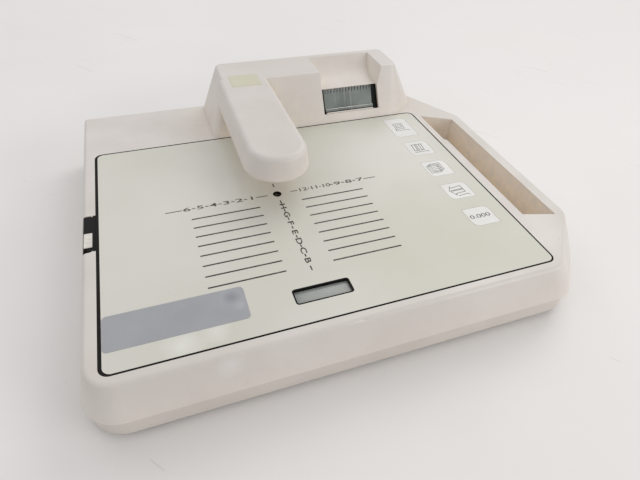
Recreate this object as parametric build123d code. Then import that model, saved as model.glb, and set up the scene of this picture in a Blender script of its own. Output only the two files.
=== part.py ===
from build123d import *
import math
import os

os.makedirs("parts", exist_ok=True)

# Microplate reader. Millimetres, +Z up, +Y to the back, +X to the right.
# The origin is on the bench, in the middle of the instrument's footprint.

# Outer form. The deck is the work panel and the rims round it.
skirt_flare = 7.2         # how far the side wall spreads below the deck
skirt_height = 24.0       # deck down to the parting line
tray_height = 15.0        # parting line down to the tray's underside
foot_height = 3.0         # feet below the tray
wall = 3.0                # moulded wall of the housing
deck_thick = 4.4          # deck with the ledge that carries the work panel
tray_wall = 2.6
tray_floor = 2.5
tray_step = 0.6           # the tray stands back a little at the parting line
tray_draft = 1.2          # and draws in towards its underside
tray_round = 1.6
slot_count = 7
slot_pitch = 6.0
slot_width = 2.2
slot_length = 30.0
front_left_radius = 15.0
front_cut_x = 40.0        # the cut front right corner: along the front edge
front_cut_y = 44.9        # and up the right edge
front_cut_flare = 1.8     # its face leans out faster than the other walls
front_cut_radius = 14.0
side_corner_radius = 9.0
cut_side_y = 76.3         # the cut back right corner: distance from the back wall
cut_back_x = 42.0         # and from the right edge
deck_round = 3.0          # rounding of the deck's rim

# Work panel
panel_width = 269.6
panel_depth = 198.9
panel_thick = 2.0
panel_radius = 4.5
rim_left = 9.5            # deck to the left of the panel
rim_front = 6.9           # deck in front of the panel
rim_right = 40.9          # and to its right, with the trough
rim_back = 60.4           # and behind it, with the raised block
seal_width = 1.2
seal_left = 2.0           # the strip is wider on the left
ledge = 4.5               # deck ledge under the panel's edge

# Measuring hole, from the panel's front left corner
hole_x_in = 119.2
hole_y_in = 114.55
hole_radius = 3.1
bush_wall = 1.2
bush_step = 0.4
bush_collar = 1.2
lens_drop = 0.5
hole_lens = 1.1

# Raised block at the back
block_height = 37.5
block_left_in = 89.5      # foot of its left end, from the panel's left edge
block_right_over = 11.4   # foot of its right end, beyond the panel's right edge
block_lean_left = 15.0
block_lean_right = 21.0
block_lean_front = 20.8
block_round = 2.5
block_corner = 5.0
block_foot_corner = 33.6  # the right front corner opens out to this at its foot
block_back_corner = 6.0

# Arm
arm_half_width = 23.2     # at its underside
arm_draft = 3.6           # narrower at its top
arm_lean = 1.3            # and its top stands further to the right
arm_off = 1.2             # its underside's middle, right of the measuring hole
arm_nose_in = 6.6         # nose centre behind the measuring hole
arm_round = 4.2
arm_gap = 21.0            # deck to the arm's underside
arm_edge = 1.5
cover_thick = 2.0

# Printer, in the sloping front face of the block
bay_right_in = 41.7       # from the foot of the block's right end
bay_width = 52.0
bay_low = 7.6             # up the slope from its foot
bay_length = 21.2
bay_recess = 3.0
bay_depth = 28.0
chute_lean = 6.0          # the chute's right wall leans outwards
chute_back = 7.0          # block's top left standing behind the chute
chute_shelf = 3.5
cheek_left = 1.8
cheek_right = 4.6
cheek_depth = 25.0
platen_up = 12.5
platen_in = 9.0
fit_gap = 0.3             # fixed piece in its cut-out

# Trough on the right
trough_near_over = 8.6    # beyond the panel's right edge
trough_width = 23.3
trough_front_in = 44.0
trough_back_in = 8.4      # its back end, in front of the panel's back edge
trough_skew_front = 6.5   # its ends run askew
trough_skew_back = 13.0
trough_step_in = 51.9     # the step in its side, from the same edge
trough_step = 2.0
trough_depth = 28.0
trough_wall = 2.5
trough_draft = 1.2

# Keys. Each row: key's front edge to the panel's back edge, and the key's depth.
key_width = 20.4
key_right_in = 10.8       # key to the panel's right edge
key_rows = [(156.9, 18.6), (126.4, 18.5), (97.1, 19.8), (67.0, 20.4), (37.4, 30.5)]
key_names = ["zero_key", "print_key", "stack_key", "columns_key", "plate_key"]
key_radius = 5.0
key_gap = 0.2
key_flange = 1.2
key_flange_thick = 0.8
key_travel = 0.4
key_rest_gap = 0.2        # flange to the panel's underside
dome_gap = key_travel + 0.1
dome_height = 1.0
dome_radius = 5.0
key_square = 0.5
board_margin = 5.0
board_end = 1.5
stud_radius = 1.4
stud_inset = 6.0
mat_thick = 0.5
board_thick = 1.6

# Display
window_left_in = 102.3
window_front_in = 13.3
window_width = 35.4
window_depth = 11.7
window_radius = 2.0
window_line = 0.9         # black edge of the opening
window_lap = 3.0
window_thick = 1.2
module_height = 8.0
module_pins = 12
module_pin_length = 3.0

# Filter slide
notch_front_in = 90.0
notch_width = 36.0
notch_reach = 1.2         # rim left between the notch and the seal
notch_depth = 13.0
notch_radius = 3.0
scoop_radius = 6.0
slide_gap = 0.4
slide_width = 21.0
slide_thick = 5.0
slide_drop = 1.2          # below the deck's underside
filter_pitch = 22.0
filter_count = 4
filter_radius = 7.0
filter_thick = 3.0
filter_stop = 1.5         # ring that the filter lies on
slide_end = 14.0          # bar beyond the last filter
slide_label_width = 5.0
slide_label_length = 13.5
slide_label_in = 95.0
guide_wall = 2.0
guide_floor = 2.0
guide_rim = 2.5

# Optics under the measuring hole
optics_side = 36.0
beam_radius = 6.0
beam_height = 10.0        # horizontal beam above the tray floor
mirror_thick = 1.6
lens_radius = 7.0
lens_edge = 1.6
lamp_radius = 5.0
lamp_base = 12.0
bulb_radius = 3.4
bulb_length = 11.0
holder_width = 30.0
holder_depth = 24.0
fin_count = 5
fin_thick = 1.6
fin_height = 6.0
run_gap = 0.05            # round fit

# Detector in the arm
barrel_radius = 7.2
barrel_drop = 5.0         # below the arm cover
barrel_height = 9.0
barrel_bore = 5.0
diode_height = 3.0
detector_inset = 6.0      # board to the arm's inner wall
detector_front = 5.0      # board in front of the measuring hole
detector_back = 22.0      # and behind it

# Boards and power
main_left_in = 26.8       # from the measuring hole
main_front_in = 12.0
main_right_in = 39.6
main_depth = 70.0
main_lift = 5.0
main_inset = 5.0
boss_radius = 3.5
coil_width = 44.0
coil_depth = 36.0
coil_height = 24.0
coil_stack = 20.0
chip_rows = 3
chip_pitch = 18.0
chip_width = 7.0
chip_length = 13.0
coil_left_in = 14.0
coil_front_in = 52.9      # in front of the panel's back edge

# Rear connectors
plate_left_in = 108.0
plate_width = 76.0
inlet_in = 18.0           # connector centres from the plate's left edge
switch_in = 45.0
fuse_in = 65.0
plate_height = 34.0
plate_low = 2.0           # above the deck's level
plate_recess = 5.0
plate_thick = 1.5
rear_lap = 3.0
inlet_width = 27.0
inlet_height = 19.6
inlet_depth = 18.0
inlet_flange = 2.0
socket_width = 24.0
socket_height = 16.6
socket_depth = 15.0
socket_cut = 5.0
pin_width = 2.0
pin_height = 4.0
pin_spread = 7.0
pin_offset = 3.0
switch_width = 15.0
switch_height = 22.0
rocker_radius = 8.4
rocker_width = 10.0
rocker_tilt = 10.0
rocker_gap = 0.3
fuse_radius = 6.5
fuse_depth = 16.0
serial_left_in = 18.0
serial_width = 53.0
serial_height = 12.6
serial_recess = 7.0
serial_shell = 5.2
serial_ear = 6.0

# Printer mechanism
bar_thick = 1.2
tooth_count = 16
tooth_height = 4.0
platen_radius = 5.0
shaft_radius = 1.5
gear_module = 0.6
gear_teeth = 24
pinion_teeth = 12
gear_width = 3.0
motor_radius = 5.5
motor_length = 22.0
roll_radius = 14.0
roll_core = 3.0
bracket_thick = 3.0
roll_length = 50.0

gear_gap = 0.6
motor_shaft = 1.0
lower_bar = 1.6
bar_behind = 2.4          # lower bar and print head, behind the tear bar's face
head_depth = 10.0
bar_low = 2.0
bar_top = 0.4
bar_lip = 2.2
lip_out = 1.0
spindle_radius = 2.0
bracket_half = 6.0

# Small parts
foot_radius = 8.0
foot_seat = 1.0
foot_inset = 26.0
screw_radius = 1.75
screw_head = 3.2
screw_head_height = 2.0
post_radius = 4.5
post_root = 1.0           # how far a post stands in the wall beside it
screw_small = 1.25
cover_boss = 3.2
capacitor_in = 14.0       # from the main board's right edge
capacitor_first = 18.0    # from its front edge
capacitor_pitch = 14.0
capacitor_height = 12.0
capacitor_radius = 4.5
chip_first = 14.0         # from the board's left edge
chip_front = 10.0
chip_end = 16.0           # board kept free for the capacitors
switch_depth = 12.0
label_thick = 0.15
arm_label_width = 24.0
arm_label_depth = 20.5
arm_label_front_in = 11.6 # behind the panel
arm_label_left_in = 8.8   # left of the measuring hole
sticker_width = 76.2
sticker_depth = 23.6
sticker_left_in = 0.2
sticker_front_in = 12.8
sticker_radius = 2.5

# Derived places
deck_width = rim_left + panel_width + rim_right
deck_depth = rim_front + panel_depth + rim_back
block_right_in = panel_width + block_right_over
bay_left_in = block_right_in - bay_right_in - bay_width
trough_near_in = panel_width + trough_near_over
trough_far_in = trough_near_in + trough_width
key_left_in = panel_width - key_right_in - key_width
main_width = panel_width - hole_x_in - main_left_in - main_right_in
deck_z = foot_height + tray_height + skirt_height
split_z = foot_height + tray_height
floor_z = foot_height + tray_floor
top_z = deck_z + block_height
under_z = deck_z - deck_thick
body_depth = deck_depth + skirt_flare
left = -deck_width / 2
right = deck_width / 2
front = skirt_flare - body_depth / 2
back = body_depth / 2
panel_x = left + rim_left
panel_y = front + rim_front
panel_back = panel_y + panel_depth
hole_x = panel_x + hole_x_in
hole_y = panel_y + hole_y_in
block_foot_y = panel_back + seal_width
slope_angle = math.degrees(math.atan2(block_lean_front, block_height))
arm_nose_y = hole_y + arm_nose_in
arm_x = hole_x + arm_off
cover_low = deck_z + arm_gap
screw_seat_z = foot_height + screw_head_height + 1.0
cover_top = cover_low + cover_thick
cover_root = block_foot_y + block_lean_front * arm_gap / block_height + wall + 1
panel_low = deck_z - panel_thick
flange_top = panel_low - key_rest_gap
flange_low = flange_top - key_flange_thick
mat_top = flange_low - dome_gap - dome_height
board_top = mat_top - mat_thick
slide_top = under_z - slide_drop
slide_low = slide_top - slide_thick
guide_top = slide_low - fit_gap
guide_low = guide_top - guide_floor
beam_z = floor_z + beam_height
slide_inner = hole_x + filter_pitch * (filter_count - 1) + slide_end
plate_x = panel_x + plate_left_in
plate_z = deck_z + plate_low
plate_y = back - plate_recess
connector_z = plate_z + plate_height / 2
inlet_x = plate_x + inlet_in
switch_x = plate_x + switch_in
fuse_x = plate_x + fuse_in
pivot_y = plate_y + plate_thick - 1.0
serial_x = panel_x + serial_left_in + fit_gap
serial_z = split_z + (skirt_height - deck_thick - serial_height) / 2 + fit_gap
roll_y = back - wall - roll_radius - 2.0
roll_z = floor_z + roll_radius + 1.5
bay_x = panel_x + bay_left_in + bay_width / 2


def box(x0, x1, y0, y1, z0, z1):
    """A block between three pairs of limits."""
    centre = Pos((x0 + x1) / 2, (y0 + y1) / 2, (z0 + z1) / 2)
    return centre * Box(abs(x1 - x0), abs(y1 - y0), abs(z1 - z0))


def post(x, y, z0, z1, radius):
    """An upright cylinder."""
    return Pos(x, y, (z0 + z1) / 2) * Cylinder(radius, abs(z1 - z0))


def rod_x(x0, x1, y, z, radius):
    """A cylinder along X."""
    return Pos((x0 + x1) / 2, y, z) * Rot(0, 90, 0) * Cylinder(radius, abs(x1 - x0))


def rod_y(x, y0, y1, z, radius):
    """A cylinder along Y."""
    return Pos(x, (y0 + y1) / 2, z) * Rot(90, 0, 0) * Cylinder(radius, abs(y1 - y0))


def rounded(x0, x1, y0, y1, z0, z1, radius):
    """A block with rounded upright corners."""
    face = RectangleRounded(x1 - x0, y1 - y0, radius)
    return Pos((x0 + x1) / 2, (y0 + y1) / 2, z0) * extrude(face, z1 - z0)


def front_cut(grow):
    """The two ends of the cut front right corner, moved outwards by grow."""
    run = math.hypot(front_cut_x, front_cut_y)
    along = (front_cut_x / run, front_cut_y / run)
    out = (along[1], -along[0])
    shift = grow * front_cut_flare
    first_t = (shift * along[0] - grow) / along[1]
    second_t = (grow - shift * out[0]) / along[0]
    first_x = right - front_cut_x + out[0] * shift + along[0] * first_t
    second_y = front + front_cut_y + out[1] * shift + along[1] * second_t
    return (first_x, front - grow), (right + grow, second_y)


def footprint(grow, back_grow=0.0):
    """The plan outline of the deck, moved outwards by grow, its back wall by back_grow."""
    run = math.hypot(cut_back_x, cut_side_y)
    along = (-cut_back_x / run, cut_side_y / run)
    out = (along[1], -along[0])
    corner = (right, back - cut_side_y)
    side_t = grow * (1 - out[0]) / along[0]
    back_t = (back + back_grow - corner[1] - out[1] * grow) / along[1]
    first, second = front_cut(grow)
    points = [
        (left - grow, front - grow),
        first,
        second,
        (right + grow, corner[1] + out[1] * grow + side_t * along[1]),
        (corner[0] + out[0] * grow + back_t * along[0], back + back_grow),
        (left - grow, back + back_grow),
    ]
    face = make_face(Polyline(*points, close=True))
    radii = (front_left_radius, front_cut_radius, front_cut_radius, side_corner_radius)
    for corner, radius in zip(points, radii):
        vertex = face.vertices().sort_by_distance((corner[0], corner[1], 0))[0]
        face = fillet(vertex, max(radius + grow, 1.0))
    return face


def skirt(inset, top, bottom, back_inset=0.0):
    """The flared lower body between two heights, drawn in by inset all round."""
    flare = skirt_flare / skirt_height
    low = footprint((deck_z - bottom) * flare - inset, -back_inset)
    high = footprint((deck_z - top) * flare - inset, -back_inset)
    return loft([Pos(0, 0, bottom) * low, Pos(0, 0, top) * high], ruled=True)


def block(inset, top, foot=0.0, edge=0.0):
    """The raised block: leaning ends and front, upright back, its top edge rounded by edge."""
    def section(height):
        share = height / block_height
        x0 = panel_x + block_left_in + block_lean_left * share + inset
        x1 = panel_x + block_right_in - block_lean_right * share - inset
        spread = block_foot_corner + (block_corner - block_foot_corner) * share
        y0 = block_foot_y + block_lean_front * share + inset
        points = [(x0, y0), (x1, y0), (x1, back - inset), (x0, back - inset)]
        front_corner = max(block_corner - inset, 1.0)
        back_corner = 0 if inset else block_back_corner
        right_corner = max(spread - inset, 1.0)
        radii = [front_corner, right_corner, back_corner, back_corner]
        outline = FilletPolyline(*points, radius=radii, close=True)
        return Pos(0, 0, deck_z + height) * make_face(outline)

    raw = loft([section(foot), section(top - deck_z)], ruled=True)
    if edge:
        raw = fillet(raw.faces().sort_by(Axis.Z)[-1].edges(), edge)
    inside = extrude(footprint(-inset, -inset), block_height * 3)
    return raw & inside


def arm(inset, low, high, top_edge=0.0, low_edge=0.0):
    """The arm: drafted, leaning sides and a half-round nose."""
    root = block_foot_y + block_lean_front + block_corner

    def section(z):
        share = (z - cover_low) / (block_height - arm_gap)
        radius = arm_half_width - arm_draft * share - inset
        x = arm_x + arm_lean * share
        face = Pos(x, (root + arm_nose_y) / 2) * Rectangle(2 * radius, root - arm_nose_y)
        return Pos(0, 0, z) * (face + Pos(x, arm_nose_y) * Circle(radius))

    bar = loft([section(low), section(high)], ruled=True)
    if top_edge:
        rim = bar.faces().sort_by(Axis.Z)[-1].edges()
        bar = fillet([e for e in rim if e.center().Y < root - 1], top_edge)
    if low_edge:
        rim = bar.faces().sort_by(Axis.Z)[0].edges()
        bar = fillet([e for e in rim if e.center().Y < root - 1], low_edge)
    return bar


def slope_plane(up, depth):
    """A plane on the block's front face: up the slope, and depth behind it."""
    lean = math.radians(slope_angle)
    y = block_foot_y + up * math.sin(lean) + depth * math.cos(lean)
    z = deck_z + up * math.cos(lean) - depth * math.sin(lean)
    centre = panel_x + bay_left_in + bay_width / 2
    normal = (0, -math.cos(lean), math.sin(lean))
    return Plane(origin=(centre, y, z), x_dir=(1, 0, 0), z_dir=normal)


def on_slope(x0, x1, up0, up1, depth0, depth1):
    """A block square to the sloping face, in its own measures."""
    plane = slope_plane(up0, depth1)
    shape = Pos((x0 + x1) / 2, (up1 - up0) / 2, (depth1 - depth0) / 2)
    return plane * (shape * Box(x1 - x0, up1 - up0, depth1 - depth0))


def chute(grow):
    """The open space above the printer, with its curved back."""
    up = bay_low + bay_length
    shelf = slope_plane(up, bay_recess).origin
    y0 = shelf.Y
    z0 = shelf.Z - grow
    y1 = y0 + chute_shelf
    y2 = back - chute_back
    bend = (y1 + (y2 - y1) * 0.62, z0 + (top_z - z0) * 0.3)
    with BuildSketch(Plane.YZ) as profile:
        with BuildLine():
            start = (block_foot_y - block_lean_front - grow, z0)
            Polyline((y2 + grow, top_z + block_height), (y2 + grow, top_z))
            ThreePointArc((y2 + grow, top_z), (bend[0] + grow * 0.7, bend[1]), (y1, z0))
            Polyline((y1, z0), start, (start[0], top_z + block_height),
                     (y2 + grow, top_z + block_height))
        make_face()
    x0 = panel_x + bay_left_in - grow
    space = Pos(x0, 0, 0) * extrude(profile.sketch, bay_width + chute_lean * 3 + 2 * grow)
    rise = top_z - shelf.Z
    run = math.hypot(rise, chute_lean)
    wall_plane = Plane(origin=(panel_x + bay_left_in + bay_width, 0, shelf.Z), x_dir=(0, 1, 0),
                       z_dir=(rise / run, 0, -chute_lean / run))
    reach = block_height * 4
    return space - wall_plane * (Pos(0, 0, grow + reach / 2) * Box(reach * 4, reach * 4, reach))


def trough_face(grow):
    """The trough's outline: a long slot with skewed ends and a small step."""
    x0 = panel_x + trough_near_in - grow
    x1 = panel_x + trough_far_in + grow
    step_x = x0 - trough_step
    y0 = panel_y + trough_front_in - grow
    y1 = panel_back - trough_back_in + grow
    step_y = panel_back - trough_step_in
    points = [(x0, y0), (x1, y0 - trough_skew_front), (x1, y1 - trough_skew_back),
              (step_x, y1), (step_x, step_y + trough_step), (x0, step_y)]
    return make_face(Polyline(*points, close=True))


def trough(grow, depth, top):
    """The trough's hollow, a little narrower at its floor."""
    low = trough_face(grow - trough_draft)
    high = trough_face(grow)
    return loft([Pos(0, 0, deck_z - depth) * low, Pos(0, 0, top) * high], ruled=True)


def panel_box(grow, z0, z1):
    """A block over the work panel's outline, wider by grow."""
    x1 = panel_x + panel_width + grow
    y1 = panel_back + grow
    return rounded(panel_x - grow, x1, panel_y - grow, y1, z0, z1, max(panel_radius + grow, 1.0))


def notch(gap):
    """The opening in the left rim for the filter slide's grip."""
    x0 = left - skirt_flare * 2
    x1 = panel_x - seal_left - notch_reach - gap
    y0 = panel_y + notch_front_in + gap
    y1 = y0 + notch_width - 2 * gap
    z0 = deck_z - notch_depth + gap
    return rounded(x0, x1, y0, y1, z0, deck_z + 1, notch_radius - gap)


def tray_screw_places():
    """Five screws: four near the corners and one at the back."""
    inset = post_radius + wall - post_root
    x0 = left + inset
    x1 = right - cut_back_x - inset
    y0 = front + inset
    y1 = back - inset
    turn = front_left_radius * (1 - math.sqrt(0.5)) - wall * 0.5
    run = math.hypot(front_cut_x, front_cut_y)
    cut_x = right - front_cut_x / 2 - inset * front_cut_y / run
    cut_y = front + front_cut_y / 2 + inset * front_cut_x / run
    return [(x0 + turn, y0 + turn), (cut_x, cut_y), (x0, y1), (x1, y1), (0, y0)]


def rear_pocket(x0, width, z0, height, depth, grow=0.0):
    """A recess in the back wall for connectors."""
    inner = back - depth - grow
    return box(x0 - grow, x0 + width + grow, inner, back + 1, z0 - grow, z0 + height + grow)


def rear_pockets(grow=0.0):
    plate = rear_pocket(panel_x + plate_left_in, plate_width, deck_z + plate_low,
                        plate_height, plate_recess, grow)
    serial = rear_pocket(serial_x - fit_gap, serial_width + 2 * fit_gap, serial_z - fit_gap,
                         serial_height + 2 * fit_gap, serial_recess, grow)
    return plate + serial


def rear_windows():
    """Openings in the pockets' floors, behind the connectors."""
    plate = box(plate_x + rear_lap, plate_x + plate_width - rear_lap, plate_y - wall * 2, plate_y,
                plate_z + rear_lap, plate_z + plate_height - rear_lap)
    middle = serial_x + serial_width / 2
    reach = serial_width / 2 - serial_ear
    serial = box(middle - reach, middle + reach, back - serial_recess - wall * 2,
                 back - serial_recess, serial_z + 1.2, serial_z + serial_height - 1.2)
    return plate + serial


def cover_screw_places():
    """Two screws hold the arm's underside cover."""
    return [(hole_x, hole_y + 30.0), (hole_x, cover_root - 9.0)]


def upper_housing():
    base = skirt(0, deck_z, split_z)
    rim = base.faces().sort_by(Axis.Z)[-1].edges()
    rim = [e for e in rim if e.center().Y < back - 1]
    outer = fillet(rim, deck_round) + block(0, top_z, 0.0, block_round)
    outer = outer + arm(0, deck_z + arm_gap, top_z, arm_round, arm_edge)
    outer = outer + trough(trough_wall, trough_depth + trough_wall, deck_z - deck_thick)

    hollow = skirt(wall, under_z, split_z - 1, wall)
    hollow = hollow + block(wall, top_z - wall, -deck_thick - 1)
    hollow = hollow + arm(wall, deck_z + arm_gap - 1, top_z - wall)
    hollow = hollow - trough(trough_wall, trough_depth + trough_wall, deck_z)
    hollow = hollow - chute(wall)
    hollow = hollow - rear_pockets(wall)
    for x, y in tray_screw_places():
        hollow = hollow - post(x, y, split_z, deck_z, post_radius)

    shell = outer - hollow
    recess = panel_box(seal_width, deck_z - panel_thick, deck_z + 1)
    side = seal_left - seal_width
    recess = recess + Pos(-side, 0, 0) * panel_box(seal_width, deck_z - panel_thick, deck_z + 1)
    behind = box(left, right, block_foot_y, back, deck_z - 10, deck_z + 10)
    shell = shell - (recess - behind)
    shell = shell - panel_box(-ledge, under_z - 1, deck_z)
    shell = shell - trough(0, trough_depth, deck_z + 1)
    shell = shell - chute(0)
    shell = shell - on_slope(-bay_width / 2, bay_width / 2, bay_low, bay_low + bay_length,
                             -bay_depth, bay_recess + bay_depth)
    shell = shell - notch(0)
    shell = shell - rear_pockets()
    shell = shell - rear_windows()
    for x, y in cover_screw_places():
        shell = shell + post(x, y, cover_top, top_z - wall, cover_boss)
        shell = shell - post(x, y, cover_top, top_z - wall - 1, screw_small - run_gap)
    for x, y in tray_screw_places():
        shell = shell - post(x, y, split_z - 1, under_z, screw_radius + run_gap)
    return shell


def base_tray():
    """The lower shell: drawn-in wall, floor, screw posts, board bosses, slots and brackets."""
    high_grow = skirt_flare - tray_step
    low_grow = high_grow - tray_draft
    low = Pos(0, 0, foot_height) * footprint(low_grow, -tray_step)
    high = Pos(0, 0, split_z) * footprint(high_grow, -tray_step)
    outer = loft([low, high], ruled=True)
    outer = fillet(outer.faces().sort_by(Axis.Z)[0].edges(), tray_round)
    low = Pos(0, 0, floor_z) * footprint(low_grow - tray_wall, -tray_step - tray_wall)
    high = Pos(0, 0, split_z + 1) * footprint(high_grow - tray_wall, -tray_step - tray_wall)
    tray = outer - loft([low, high], ruled=True)
    for x, y in tray_screw_places():
        tray = tray + post(x, y, floor_z - 1, split_z, post_radius)
        tray = tray - post(x, y, foot_height, split_z, screw_radius + run_gap)
        tray = tray - post(x, y, foot_height, screw_seat_z, screw_head + fit_gap)
    for x, y in foot_places():
        tray = tray - post(x, y, foot_height - 1, foot_height + foot_seat, foot_radius + run_gap)
    for x, y in board_screw_places():
        tray = tray + post(x, y, floor_z - 1, floor_z + main_lift, boss_radius)
        tray = tray - post(x, y, floor_z, floor_z + main_lift, screw_small + run_gap)
    for x in guide_post_places():
        tray = tray + post(x, hole_y, floor_z - 1, guide_low, boss_radius)
    for index in range(slot_count):
        x = panel_x + coil_left_in + index * slot_pitch
        y = panel_back - coil_front_in + coil_depth + slot_pitch
        tray = tray - rounded(x, x + slot_width, y, y + slot_length, foot_height - 1,
                              floor_z + 1, slot_width * 0.45)
    for x in roll_bracket_places():
        side = box(x, x + bracket_thick, roll_y - bracket_half, roll_y + bracket_half,
                   floor_z - 1, roll_z)
        side = side + rod_x(x, x + bracket_thick, roll_y, roll_z, bracket_half)
        tray = tray + side - rod_x(x - 1, x + bracket_thick + 1, roll_y, roll_z, spindle_radius + run_gap)
    return tray


def foot_places():
    x0 = left + foot_inset
    x1 = right - foot_inset
    y0 = front + foot_inset
    y1 = back - foot_inset
    return [(x0, y0), (x1 - foot_inset * 0.6, y0), (x0, y1), (x1 - cut_back_x, y1)]


def board_screw_places():
    x0 = hole_x + main_left_in + main_inset
    x1 = hole_x + main_left_in + main_width - main_inset
    y0 = panel_y + main_front_in + main_inset
    y1 = panel_y + main_front_in + main_depth - main_inset
    return [(x0, y0), (x1, y0), (x0, y1), (x1, y1)]


def guide_post_places():
    return [panel_x + 20.0, slide_inner - 12.0]


def roll_bracket_places():
    half = roll_length / 2 + fit_gap
    return [bay_x - half - bracket_thick, bay_x + half]


def rubber_feet():
    """Four turned rubber feet, seated in the tray."""
    feet = []
    for x, y in foot_places():
        foot = post(x, y, 0, foot_height + foot_seat, foot_radius)
        feet.append(chamfer(foot.edges().sort_by(Axis.Z)[0], foot_height * 0.3))
    return Compound(feet)


def tray_screws():
    screws = []
    for x, y in tray_screw_places():
        head = post(x, y, screw_seat_z - screw_head_height, screw_seat_z, screw_head)
        head = head - box(x - screw_head, x + screw_head, y - 0.4, y + 0.4,
                          screw_seat_z - screw_head_height, screw_seat_z - screw_head_height * 0.5)
        screws.append(head + post(x, y, screw_seat_z, under_z - 2, screw_radius))
    return Compound(screws)


def key_outline(grow, row):
    """A key: two opposite corners are rounded, the other two square."""
    behind, depth = row
    x0 = panel_x + key_left_in - grow
    x1 = panel_x + key_left_in + key_width + grow
    y0 = panel_back - behind - grow
    y1 = panel_back - behind + depth + grow
    round_corner = key_radius + grow
    square_corner = key_square + max(grow, 0)
    radii = [round_corner, square_corner, round_corner, square_corner]
    points = [(x0, y0), (x1, y0), (x1, y1), (x0, y1)]
    return make_face(FilletPolyline(*points, radius=radii, close=True))


def key(row):
    pad = Pos(0, 0, flange_low) * extrude(key_outline(-key_gap, row), deck_z - flange_low)
    flange = extrude(key_outline(key_flange, row), key_flange_thick)
    return pad + Pos(0, 0, flange_low) * flange


def keypad_limits():
    x0 = panel_x + key_left_in - board_margin
    x1 = panel_x + key_left_in + key_width + board_margin
    y0 = panel_back - key_rows[0][0] - board_end
    y1 = panel_back - key_rows[-1][0] + key_rows[-1][1] + board_end
    return x0, x1, y0, y1


def stud_places():
    x0, x1, y0, y1 = keypad_limits()
    side = stud_radius + fit_gap
    return [(x, y) for x in (x0 + side, x1 - side) for y in (y0 + stud_inset, y1 - stud_inset)]


def window_box(grow, z0, z1, radius):
    x0 = panel_x + window_left_in
    y0 = panel_y + window_front_in
    return rounded(x0 - grow, x0 + window_width + grow, y0 - grow, y0 + window_depth + grow,
                   z0, z1, radius)


def work_panel():
    """The flush panel, with its cut-outs and the studs that carry the keypad board."""
    plate = panel_box(0, panel_low, deck_z)
    for row in key_rows:
        plate = plate - Pos(0, 0, panel_low - 1) * extrude(key_outline(0, row), panel_thick + 2)
    plate = plate - window_box(0, panel_low - 1, deck_z + 1, window_radius)
    plate = plate - post(hole_x, hole_y, panel_low - 1, deck_z + 1, hole_radius)
    for x, y in stud_places():
        plate = plate + post(x, y, board_top, panel_low, stud_radius)
    return plate


def panel_seal():
    """The black strip that fills the gap round the panel."""
    ring = panel_box(seal_width, panel_low, deck_z)
    ring = ring + Pos(seal_width - seal_left, 0, 0) * panel_box(seal_width, panel_low, deck_z)
    return ring - panel_box(0, panel_low - 1, deck_z + 1)


def window_frame():
    outer = window_box(0, panel_low, deck_z, window_radius)
    return outer - window_box(-window_line, panel_low - 1, deck_z + 1, window_radius - window_line)


def display_window():
    return window_box(window_lap, panel_low - window_thick, panel_low, window_radius)


def display_module():
    """The digit module under the window, with its row of pins."""
    top = panel_low - window_thick
    body = window_box(window_lap, top - module_height, top, window_radius)
    body = chamfer(body.edges().group_by(Axis.Z)[0], 0.8)
    x0 = panel_x + window_left_in
    y = panel_y + window_front_in + window_depth / 2
    for index in range(module_pins):
        x = x0 + (index + 0.5) * window_width / module_pins
        body = body + post(x, y, top - module_height - module_pin_length, top - module_height, 0.4)
    return body


def keypad_board():
    x0, x1, y0, y1 = keypad_limits()
    return rounded(x0, x1, y0, y1, board_top - board_thick, board_top, 1.5)


def dome_mat():
    """A thin mat on the keypad board with one dome under each key."""
    x0, x1, y0, y1 = keypad_limits()
    edge = 2 * stud_radius + 1.0
    mat = rounded(x0 + edge, x1 - edge, y0 + 1, y1 - 1, board_top, mat_top, 1.0)
    middle = panel_x + key_left_in + key_width / 2
    for behind, depth in key_rows:
        y = panel_back - behind + depth / 2
        dome = Pos(middle, y, mat_top + dome_height / 2) * Cone(dome_radius, dome_radius * 0.6, dome_height)
        mat = mat + dome
    return mat


def measuring_bush():
    """The black bush that lines the measuring hole."""
    low = slide_top + fit_gap
    tube = post(hole_x, hole_y, low, deck_z, hole_radius)
    tube = tube + post(hole_x, hole_y, panel_low - bush_collar, panel_low, hole_radius + bush_collar)
    tube = tube - post(hole_x, hole_y, low - 1, deck_z + 1, hole_radius - bush_wall - bush_step)
    return tube - post(hole_x, hole_y, deck_z - lens_drop - hole_lens, deck_z + 1, hole_radius - bush_wall)


def measuring_lens():
    radius = hole_radius - bush_wall - run_gap
    low = deck_z - lens_drop - hole_lens
    lens = post(hole_x, hole_y, low, low + hole_lens, radius)
    return fillet(lens.edges().sort_by(Axis.Z)[-1], hole_lens * 0.6)


def arm_cover():
    """The plate that closes the arm's underside."""
    plate = arm(wall + fit_gap, cover_low, cover_top)
    plate = plate - box(left, right, cover_root, back, cover_low - 1, cover_top + 1)
    plate = plate - post(hole_x, hole_y, cover_low - 1, cover_top + 1, barrel_radius + run_gap)
    for x, y in cover_screw_places():
        plate = plate - post(x, y, cover_low - 1, cover_top + 1, screw_small + run_gap)
        plate = plate - post(x, y, cover_low - 1, cover_low + 1, screw_small * 2 + run_gap)
    return plate


def cover_screws():
    screws = []
    for x, y in cover_screw_places():
        head = post(x, y, cover_low + 0.1, cover_low + 1, screw_small * 2)
        head = head - box(x - 2.5, x + 2.5, y - 0.3, y + 0.3, cover_low, cover_low + 0.6)
        screws.append(head + post(x, y, cover_low + 1, cover_top, screw_small)
                      + post(x, y, cover_top, cover_top + 6, screw_small - 2 * run_gap))
    return Compound(screws)


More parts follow.
